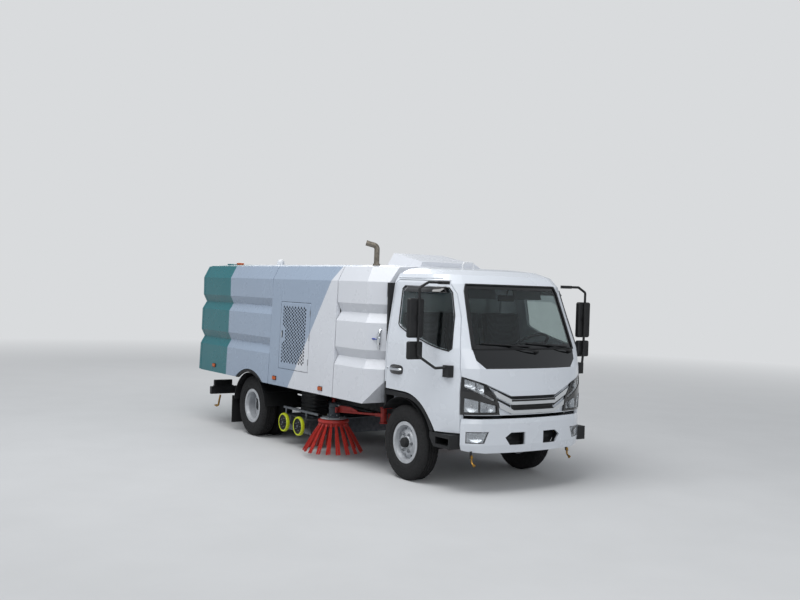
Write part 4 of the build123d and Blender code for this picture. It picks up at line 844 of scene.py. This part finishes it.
for i, (spindle, heel, tip) in enumerate(windscreen["wipers"]):
    shape = Shape().solid([(0.012, 0.032), (0.017, 0.026), (0.020, 0.0)], onGlass(*spindle), (1, 0, 0.35), 20)
    middle = ((heel[0] + tip[0]) / 2, (heel[1] + tip[1]) / 2)
    elbow = (spindle[0] * 0.6 + middle[0] * 0.4, 1.405)
    shape.tube(smoothLine([proud(spindle, 0.026, 0.006), proud(elbow, 0.034), proud(middle, 0.026, 0.004)]),
               [0.008] * 5 + [0.0055] * 8, 8)
    blade = [(heel[0] * (1 - t) + tip[0] * t, heel[1] * (1 - t) + tip[1] * t) for t in (k / 10 for k in range(11))]
    for out, radius, sides in ((0.017, 0.0065, 8), (0.008, 0.0035, 6)):
        shape.tube([proud(p, out) for p in blade], radius, sides)
    shape.tube([proud(blade[3], 0.020), proud(middle, 0.030, 0.002), proud(blade[7], 0.020)], 0.005, 8)
    shape.place(f"wiper{i}", "grainedPolypropylene")
print("windscreen and wipers done")

# Doors: window seal, drip rail, handle, lock, rain visor and mirror glasses
doorSpec = {
    "window": [(1.805, 1.585), (1.955, 1.530), (2.565, 1.385), (2.587, 1.410), (2.511, 1.720), (2.428, 1.945),
               (2.393, 1.990), (1.785, 1.998), (1.750, 1.970), (1.770, 1.610)],
    "dripXs": (1.63, 1.75, 1.9, 2.05, 2.2, 2.3), "dripZ": 2.088,
    "handle": (1.795, 1.138), "cupHalf": (0.118, 0.05), "corner": 3.2,
    "grip": ((-0.095, 0.006), (-0.08, 0.02), (-0.03, 0.032), (0.03, 0.032), (0.08, 0.02), (0.095, 0.006)),
    "visorX": (1.775, 2.372), "visorZ": (1.945, 2.006), "visorBulge": 0.044, "visorSlant": 0.035,
    "mirrors": [(2.348, (-1.203, -1.057), (1.517, 1.868)), (2.353, (-1.198, -1.062), (1.307, 1.449))],
}  # mirrors: x of the rear face, y and z ranges
windowLine = [onSide("door_right", x, z, 0.001) for x, z in dense(grown(doorSpec["window"], 0.004), 0.06)]
bothSides(Shape().tube(windowLine, 0.007, 8, closed=True), "doorWindowSeal", "epdmSeal", "door_{}")
drip = [onSide("cab_shell", x, doorSpec["dripZ"], 0.003) for x in doorSpec["dripXs"]]
bothSides(Shape().tube(smoothLine(drip, 4), 0.006, 8), "dripRail", "whitePolyurethanePaint")
(handleX, handleZ), cupLoops = doorSpec["handle"], []


def rounded(value, corner):  # a cosine or sine for an oval with full corners
    return copysign(abs(value) ** (2 / corner), value)


for out, shrink in ((-0.004, 1.0), (0.0042, 1.0), (0.007, 0.94)):
    dx, dz = (half * shrink for half in doorSpec["cupHalf"])
    cupLoops.append([onSide("door_right", handleX + dx * rounded(c, doorSpec["corner"]),
                            handleZ + dz * rounded(s, doorSpec["corner"]), out) for c, s in circle(32)])
bothSides(Shape().rings(cupLoops), "doorHandleCup", "glossBlackAbs", "door_{}")
grip = [onSide("door_right", handleX + dx, handleZ + 0.004, out) for dx, out in doorSpec["grip"]]
bothSides(Shape().tube(smoothLine(grip, 5), 0.0135, 12), "doorHandleGrip", "chromePlate", "door_{}")
bothSides(Shape().solid([(0.009, 0.006), (0.012, 0.003), (0.012, -0.002)],
                        onSide("door_right", handleX - 0.16, handleZ + 0.005), (0, -1, 0.1), 20),
          "doorLock", "chromePlate", "door_{}")
(vx0, vx1), (vz0, vz1), slant = doorSpec["visorX"], doorSpec["visorZ"], doorSpec["visorSlant"]


def visorSurface(x, z):  # a thin moulding that stands away from the glass and closes on it at both ends
    y = touch((x, -2.0, z), (0, 1, 0), "door_right", "door_glass_right")[0].y
    down = (vz1 - z) / (vz1 - vz0)
    along = max(0.0, min(1.0, (x - vx0) / 0.05, (vx1 + slant * down - x) / 0.05))
    return Vector((x, y - 0.0015 - doorSpec["visorBulge"] * sin(along * pi / 2) * sin(down * pi / 2), z))


visor = Shape().patch([(vx0, vz0), (vx1 + slant, vz0), (vx1, vz1), (vx0, vz1)], 28, 7, visorSurface)
bothSides(visor, "rainVisor", "glossBlackAbs", "door_{}", sheet=(0.003, 0.0))
for i, (x, (y0, y1), (z0, z1)) in enumerate(doorSpec["mirrors"]):
    bothSides(Shape().box((x - 0.0025, y0, z0), (x + 0.001, y1, z1)), f"mirrorGlass{i}", "mirrorSilver", "door_{}",
              bevel=0.001)

hoop = {"x": 2.155, "ys": (-0.39, -0.25), "base": 2.17, "top": 2.262, "radius": 0.009}
(y0, y1), top = hoop["ys"], hoop["top"]
hoopLine = [(y0, hoop["base"]), (y0, top - 0.03), (y0 + 0.01, top - 0.008), (y0 + 0.03, top), (y1 - 0.03, top),
            (y1 - 0.01, top - 0.008), (y1, top - 0.03), (y1, hoop["base"])]
Shape().tube(smoothLine([(hoop["x"], y, z) for y, z in hoopLine], 4), hoop["radius"], 12).place(
    "roofHoop", "whiteEnamel")
print("doors and mirrors done")

# Lamps and grille
reflectors = [
    # corners in y and z, bowl centre, bowl radii
    ([(-0.757, 0.802), (-0.645, 0.802), (-0.645, 0.908), (-0.757, 0.936)], (-0.70, 0.862), (0.055, 0.06)),
    ([(-0.625, 0.802), (-0.468, 0.802), (-0.470, 0.864), (-0.625, 0.903)], (-0.552, 0.845), (0.07, 0.05)),
    ([(-0.757, 1.050), (-0.672, 1.008), (-0.672, 1.088), (-0.757, 1.116)], (-0.715, 1.068), (0.05, 0.04)),
    ([(-0.662, 1.003), (-0.592, 0.968), (-0.592, 1.060), (-0.662, 1.085)], (-0.628, 1.03), (0.045, 0.04)),
    ([(-0.735, 0.508), (-0.592, 0.508), (-0.552, 0.603), (-0.735, 0.603)], (-0.655, 0.556), (0.07, 0.045)),
]
lampFront = frontOf("lamp_lenses")


def dished(centre, radii, rim=0.003, depth=0.008):  # a bowl behind the lens
    def surface(y, z):
        reach = min(1.0, hypot((y - centre[0]) / radii[0], (z - centre[1]) / radii[1]))
        return lampFront(y, z) - Vector((rim + depth * (1 - reach * reach), 0, 0))
    return surface


bowls, bulbs, bars = Shape(), Shape(), Shape()
for corners, centre, radii in reflectors:
    bowls.patch(corners, 14, 12, dished(centre, radii))
    bulbs.lathe([(0.0005, 0.002), (0.008, 0.001), (0.010, -0.003), (0.0005, -0.003)],
                lampFront(*centre) - Vector((0.004, 0, 0)), (1, 0, 0), 16)
dayLampLine = [(-0.757, 1.044), (-0.66, 0.997), (-0.585, 0.958), (-0.50, 0.916), (-0.483, 0.912)]
behindLens = frontOf("lamp_lenses", out=-0.006)
for rise in (0.0, 0.012):
    bars.tube([behindLens(y, z + rise) for y, z in dayLampLine], 0.004, 8)
bothSides(bowls, "lampReflectors", "lampReflectorFilm")
bothSides(bulbs, "lampBulbs", "whiteEnamel", slot="lamp_glass")
bothSides(bars, "dayLampBars", "whiteEnamel", slot="lamp_glass")

slots = [
    # corners in y and z of a black sheet, painted shade, over the opening above each chrome bar, then of the wing
    # beside it
    [(-0.287, 0.902), (0.287, 0.902), (0.289, 0.952), (-0.289, 0.952)],
    [(-0.268, 0.818), (0.268, 0.818), (0.285, 0.866), (-0.285, 0.866)],
    [(0.548, 1.060), (0.505, 1.030), (0.285, 0.926), (0.287, 0.951)],
    [(0.448, 0.938), (0.440, 0.915), (0.283, 0.840), (0.287, 0.866)],
]
# painted shade: black sheets laid on the closed cab front where the grille's openings are dark
slotShadeSheets, inFront = Shape(), frontOf("cab_shell", "grille_bars", out=0.0015)
for corners in slots[:2]:
    slotShadeSheets.patch(corners, 24, 3, inFront)
for corners in slots[2:]:
    for side in (-1, 1):
        slotShadeSheets.patch([(side * y, z) for y, z in corners], 14, 2, inFront)
slotShadeSheets.place("grilleSlotShade", "grainedPolypropylene", sheet=(0.003, -1.0))
bumperPocket = {
    "outline": [(-0.118, 0.600), (-0.290, 0.600), (-0.356, 0.552), (-0.300, 0.476), (-0.118, 0.476)],
    "sunk": 0.024, "depth": 0.045, "openX": 2.86,
}
rim = []
for y, z in dense(grown(bumperPocket["outline"], 0.004), 0.03):
    hit, normal = touch((4.0, y, z), (-1, 0, 0), "front_bumper")
    rim.append((hit.x - bumperPocket["sunk"] if hit else bumperPocket["openX"], y, z))
pockets = Shape().rings([rim, [(x - bumperPocket["depth"], y, z) for x, y, z in rim]], capped=False)
pockets.face([(min(p[0] for p in rim) - bumperPocket["depth"], y, z) for x, y, z in rim])
bothSides(pockets, "bumperPockets", "grainedPolypropylene", sheet=(0.002, 1.0))

# Inside the cab
cabInside = {
    "visorY": (-0.50, -0.12), "visorBase": (2.385, 1.895), "visorTop": (2.355, 2.025), "visorThick": 0.016,
    "mirror": Vector((2.395, 0.0, 1.905)), "mirrorHalf": Vector((0.012, 0.105, 0.032)),
}
(vy0, vy1), (lowX, vz0), (highX, vz1) = cabInside["visorY"], cabInside["visorBase"], cabInside["visorTop"]
sunVisor = Shape().rings([[(lowX - t, vy0, vz0), (lowX - t, vy1, vz0), (highX - t, vy1, vz1), (highX - t, vy0, vz1)]
                          for t in (0.0, cabInside["visorThick"])])
sunVisor.tube([(highX - 0.008, y, vz1 - 0.004) for y in (vy0, vy1)], 0.007, 10)
bothSides(sunVisor, "sunVisor", "greyDashboardAbs", bevel=0.006, segments=3)
at, half = cabInside["mirror"], cabInside["mirrorHalf"]
insideMirror = Shape().box(at - half, at + half)
insideMirror.tube([at + Vector((x, 0, z)) for x, z in ((0.008, 0.02), (0.02, 0.07), (0.035, 0.095))], 0.006, 10)
insideMirror.place("insideMirror", "grainedPolypropylene", bevel=0.008, segments=3)
print("lamps and grille done")

# Seats: three sewn cushions and backs
seatRoom = {
    "x": 1.637, "hump": 1.080, "fill": 0.7, "crown": 0.012,
    "places": [(-0.56, 0.48), (-0.06, 0.42), (0.48, 0.50)],  # middle y, width
}


def cornerOut(u, v):  # the way out from the rim of a cushion
    return Vector((u if abs(u) == 1 else 0, v if abs(v) == 1 else 0)).normalized()


def makeCushion(piping, origin, along, above, size, crown, grooves):
    width, length, thick = size
    origin, along, above = Vector(origin), Vector(along).normalized(), Vector(above).normalized()
    radius, count = min(0.038, thick * 0.42), 22
    shape = Shape()

    def put(u, v, z, out=Vector((0, 0))):  # u and v from -1 to 1; the sides pull in between the corners
        a = (width / 2 - radius) * u * (1 - 0.03 * (1 - v * v)) + out.x
        b = (length / 2 - radius) * v * (1 - 0.025 * (1 - u * u)) + out.y
        return origin + Vector((0, a, 0)) + along * b + above * z

    def height(u, v):
        rise = crown * (1 - u ** 4) * (1 - v ** 4)
        rise -= 0.007 * exp(-(((abs(u) - 0.6) / 0.045) ** 2)) * (1 - v ** 6)
        return rise - sum(0.006 * exp(-(((v - g) / 0.05) ** 2)) for g in grooves if abs(u) < 0.62)

    steps = [-1 + 2 * k / count for k in range(count + 1)]
    edge = [(u, -1) for u in steps[:-1]] + [(1, v) for v in steps[:-1]]
    edge += [(u, 1) for u in steps[:0:-1]] + [(-1, v) for v in steps[:0:-1]]
    faces = []
    for sign in (1, -1):
        rows = [[shape.bm.verts.new(put(u, v, (thick / 2 + (height(u, v) if sign > 0 else 0)) * sign))
                 for u in steps] for v in steps]
        shape.skin(rows)
        faces.append({(u, v): rows[j][i] for j, v in enumerate(steps) for i, u in enumerate(steps)})
    loops = [[faces[0][e] for e in edge]]
    for t in (pi * k / 8 for k in range(1, 8)):
        drop = (thick / 2 - radius) * copysign(1, cos(t)) if abs(cos(t)) > 0.01 else 0
        loops.append([shape.bm.verts.new(put(u, v, drop + radius * cos(t), cornerOut(u, v) * radius * sin(t)))
                      for u, v in edge])
    loops.append([faces[1][e] for e in edge])
    shape.skin(loops, around=True)
    piping.tube([put(u, v, thick / 2 - radius * 0.28, cornerOut(u, v) * radius * 0.72) for u, v in edge[::2]], 0.004, 6,
                closed=True)
    return shape


piping = Shape()
for i, (y, width) in enumerate(seatRoom["places"], 1):
    x0, base = seatRoom["x"], seatRoom["hump"]
    parts = [
        ("Cushion", (x0 + 0.365, y, base + 0.062), (1, 0, 0), (0, 0, 1), (0.425, 0.118), (-0.3, 0.35)),
        ("Back", (x0 + 0.1425, y, base + 0.396), (-0.1, 0, 0.528), (0.528, 0, 0.1), (0.525, 0.098),
         (-0.45, 0.05, 0.55)),
    ]
    for label, origin, along, above, size, grooves in parts:
        cushion = makeCushion(piping, origin, along, above, (width - 0.01, *size), seatRoom["crown"], grooves)
        obj = cushion.place(f"seat{label}{i}", "wovenPolyester", angle=50)
        if (label, i) == ("Cushion", 1):
            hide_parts("seats")
piping.place("seatPiping", "epdmSeal", slot="seat_fabric")
print("seats done")

# Brush arms: red box section, dark motor, pale cover plate. Their x runs from the pivot along the arm
armSpec = {"pivot": Vector((rearX + 2.33, -0.46, 0.53)), "hingeReach": 0.075, "pipeYs": (-0.022, 0.022),
           "plateBolts": (0.067, 0.021, 0.007), "coverBolts": (0.125, -0.002, 0.006)}  # circle, z, height
armWay = Vector((*(brushGear["centre"] - armSpec["pivot"]).xy, 0))
armLength = armWay.length
armWay.normalize()
armSide = lift(1).cross(armWay)
low = brushGear["plateZ"] - armSpec["pivot"].z + 0.036


def onArm(point):
    return armSpec["pivot"] + armWay * point[0] + armSide * point[1] + lift(point[2])


reach, end = armSpec["hingeReach"], armLength
arm = Shape().box((reach + 0.012, -0.014, -0.012), (end - 0.055, 0.014, 0.012), onArm)
arm.lathe([(0.0105, -0.014), (0.017, -0.014), (0.017, 0.014), (0.0105, 0.014)], onArm((reach, 0, 0)), armSide, 24)
gusset = [(end / 2, 0.011), (end - 0.06, 0.011), (end - 0.06, 0.070), (end / 2 + 0.10, 0.060), (end / 2 + 0.02, 0.030)]
for y in (-0.011, 0.006):
    arm.rings([[onArm((a, y + t, c)) for a, c in gusset] for t in (0, 0.005)])
for y in (-0.062, 0.050):  # cheeks that hold the motor
    arm.box((end - 0.075, y, -0.012), (end - 0.045, y + 0.012, 0.05), onArm)
arm.box((end - 0.075, -0.062, -0.012), (end - 0.055, 0.062, 0.04), onArm)
bothSides(arm, "brushArm", "redEnamel", "brush_arm_{}", "brush_arm_{}", bevel=0.002)
centre = onArm((end, 0, 0))
cover = [(0.05, 0), (0.10, 0), (0.138, -0.002), (0.152, -0.007), (0.156, -0.010), (0.150, -0.012), (0.10, -0.008),
         (0.05, -0.008)]
bothSides(Shape().lathe([(r, low + a) for r, a in cover], centre, (0, 0, 1), 72), "brushCover", "paleGreyEnamel",
          "brush_arm_{}")
motorFoot = [(0.017, 0), (0.073, 0), (0.075, 0.004), (0.075, 0.022), (0.060, 0.026), (0.056, 0.032)]
motor = Shape().lathe([(r, low + a) for r, a in motorFoot]
                      + [(0.056, 0.020), (0.061, 0.024), (0.061, 0.040), (0.056, 0.044), (0.056, 0.080), (0.050, 0.090),
                         (0.030, 0.096), (0.001, 0.097), (0.001, 0.060), (0.017, 0.050)], centre, (0, 0, 1), 40)
bolts, pipes = Shape(), Shape()
for ring, z, height in (armSpec["plateBolts"], armSpec["coverBolts"]):
    bolts.nutRing(6, ring, centre + lift(low + z), (0, 0, 1), 0.013, height)
for y in armSpec["pipeYs"]:
    motor.solid([(0.014, 0.0), (0.014, 0.062), (0.011, 0.066)], onArm((end, y, 0.072)), -armWay)
    bolts.nut(onArm((end - 0.066, y, 0.072)), -armWay, 0.024, 0.012)
    line = [(end - 0.078, 0.072), (end - 0.12, 0.080), (end - 0.2, 0.074), (end * 0.5, 0.045), (end * 0.3, 0.028),
            (reach + 0.06, 0.024)]
    pipes.tube(smoothLine([onArm((a, y, c)) for a, c in line]), 0.007, 10)
bothSides(motor, "brushMotor", "dustyEngineEnamel", "brush_arm_{}")
bothSides(bolts, "brushMotorBolts", "zincPlatedSteel", "brush_arm_{}", angle=20)
bothSides(pipes, "brushMotorPipes", "hoseRubber", "brush_arm_{}")
print("brush arms done")

# Tank valve with a blue lever
tankValve = {
    "x": 1.495, "z": 1.43,
    "body": [(0, 0.004, 0.10), (0, -0.012, 0.09), (0, -0.024, 0.06), (0, -0.026, -0.06), (0, -0.020, -0.105)],
    "lever": [(0, -0.052, 0), (-0.03, -0.060, 0.002), (-0.085, -0.060, 0.002), (-0.11, -0.056, -0.002)],
    "nutZs": (0.05, -0.05),
}
face = onSide("water_tank", tankValve["x"], tankValve["z"])
valve = Shape().tube([face + Vector(p) for p in tankValve["body"]], 0.013, 14)
valve.solid(evenProfile([(0.019, -0.030), (0.021, -0.024)]), face + Vector((0, -0.026, 0)), (0, 0, 1), 20)
for z in tankValve["nutZs"]:
    valve.solid([(0.020, -0.010), (0.020, 0.010)], face + Vector((0, -0.025, z)), (0, 0, 1), 6)
bothSides(valve, "tankValve", "chromePlate", slot="steel")
bothSides(Shape().tube(smoothLine([face + Vector(p) for p in tankValve["lever"]], 5), [0.005] * 4 + [0.008] * 12, 10),
          "tankValveLever", "blueEnamel")

# Roof lamps
Shape().lathe([(0.001, 0.075), (0.030, 0.070), (0.045, 0.052), (0.048, 0.030), (0.048, 0.012), (0.052, 0.010),
               (0.052, 0.0), (0.001, 0.0)], (rearX - 0.105, -0.55, truck["roofZ"]), (0, 0, 1)).place(
    "roofLamp", "whiteEnamel", "hopper")
bothSides(Shape().box((-2.80, -0.60, truck["roofZ"] - 0.001), (-2.72, -0.52, truck["roofZ"] + 0.028)),
          "rearCornerLamp", "amberAcrylic", "hopper", bevel=0.006, segments=3)

# Wash jets under the nose, and the hose outlet at the rear
jets = {"ys": (-0.70, 0.56), "z": 0.31, "x": 2.787,
        "pipe": [(0, 0.078), (0, 0.03), (0.005, 0.008), (0.028, -0.008)]}
for i, y in enumerate(jets["ys"]):
    x, z = jets["x"], jets["z"]
    bracket = Shape().box((x - 0.017, y - 0.014, z + 0.045), (x - 0.013, y + 0.014, z + 0.115))
    bracket.box((x - 0.017, y - 0.014, z + 0.045), (x + 0.013, y + 0.014, z + 0.049))
    bracket.place(f"jetBracket{i}", "blackChassisEnamel", bevel=0.001)
    jet = Shape().tube(smoothLine([(x + dx, y, z + dz) for dx, dz in jets["pipe"]], 5), 0.009, 12)
    jet.solid([(0.013, -0.012), (0.013, 0.012)], (x, y, z + 0.057), (0, 0, 1), 6)
    jet.solid([(0.012, 0.0), (0.016, 0.018)], (x + 0.028, y, z - 0.008), (1, 0, -0.6))
    jet.place(f"washJet{i}", "brass")
outletPipe = [(-2.60, -0.88, 0.40), (-2.60, -0.90, 0.30), (-2.62, -0.90, 0.255), (-2.66, -0.90, 0.245)]
outlet = Shape().tube(smoothLine(outletPipe), 0.013, 12)
outlet.solid([(0.017, 0.0), (0.017, 0.028), (0.012, 0.034), (0.009, 0.075)], outletPipe[-1], (-1, 0, -0.06))
outlet.place("hoseOutlet", "brass")

# Nozzle: a side bar over its wheels, and a pleated rubber sleeve from each duct to the body's floor
sideBar = {"x": (rearX + 0.64, rearX + 1.50), "y": -0.835, "z": 0.445, "postXs": (rearX + 0.70, rearX + 1.21)}
(x0, x1), y, z = sideBar["x"], sideBar["y"], sideBar["z"]
bar = Shape().box((x0, y - 0.004, z - 0.013), (x1, y + 0.004, z + 0.013))
bar.box((x0, y, z + 0.005), (x1, y + 0.03, z + 0.013))
for x in sideBar["postXs"]:
    bar.box((x - 0.016, y, 0.361), (x + 0.016, y + 0.005, z + 0.01))
bothSides(bar, "nozzleSideBar", "wornSheetSteel", "nozzle", bevel=0.001)
sleeve = {"x": rearX + 1.0, "y": -0.6, "half": (0.168, 0.118), "z": (0.376, 0.884), "pleats": 11, "depth": 0.011}
steps, loops = sleeve["pleats"] * 4, []
for k in range(steps + 1):
    z = sleeve["z"][0] + (sleeve["z"][1] - sleeve["z"][0]) * k / steps
    swell = sleeve["depth"] * (0.5 - 0.5 * cos(pi * k / 2))
    loops.append([(sleeve["x"] + (sleeve["half"][0] + swell) * rounded(c, 4),
                   sleeve["y"] + (sleeve["half"][1] + swell) * rounded(s, 4), z) for c, s in circle(36)])
bothSides(Shape().rings(loops, capped=False), "suctionSleeve", "hoseRubber", angle=50, sheet=(0.003, 1.0))
print("fittings done")
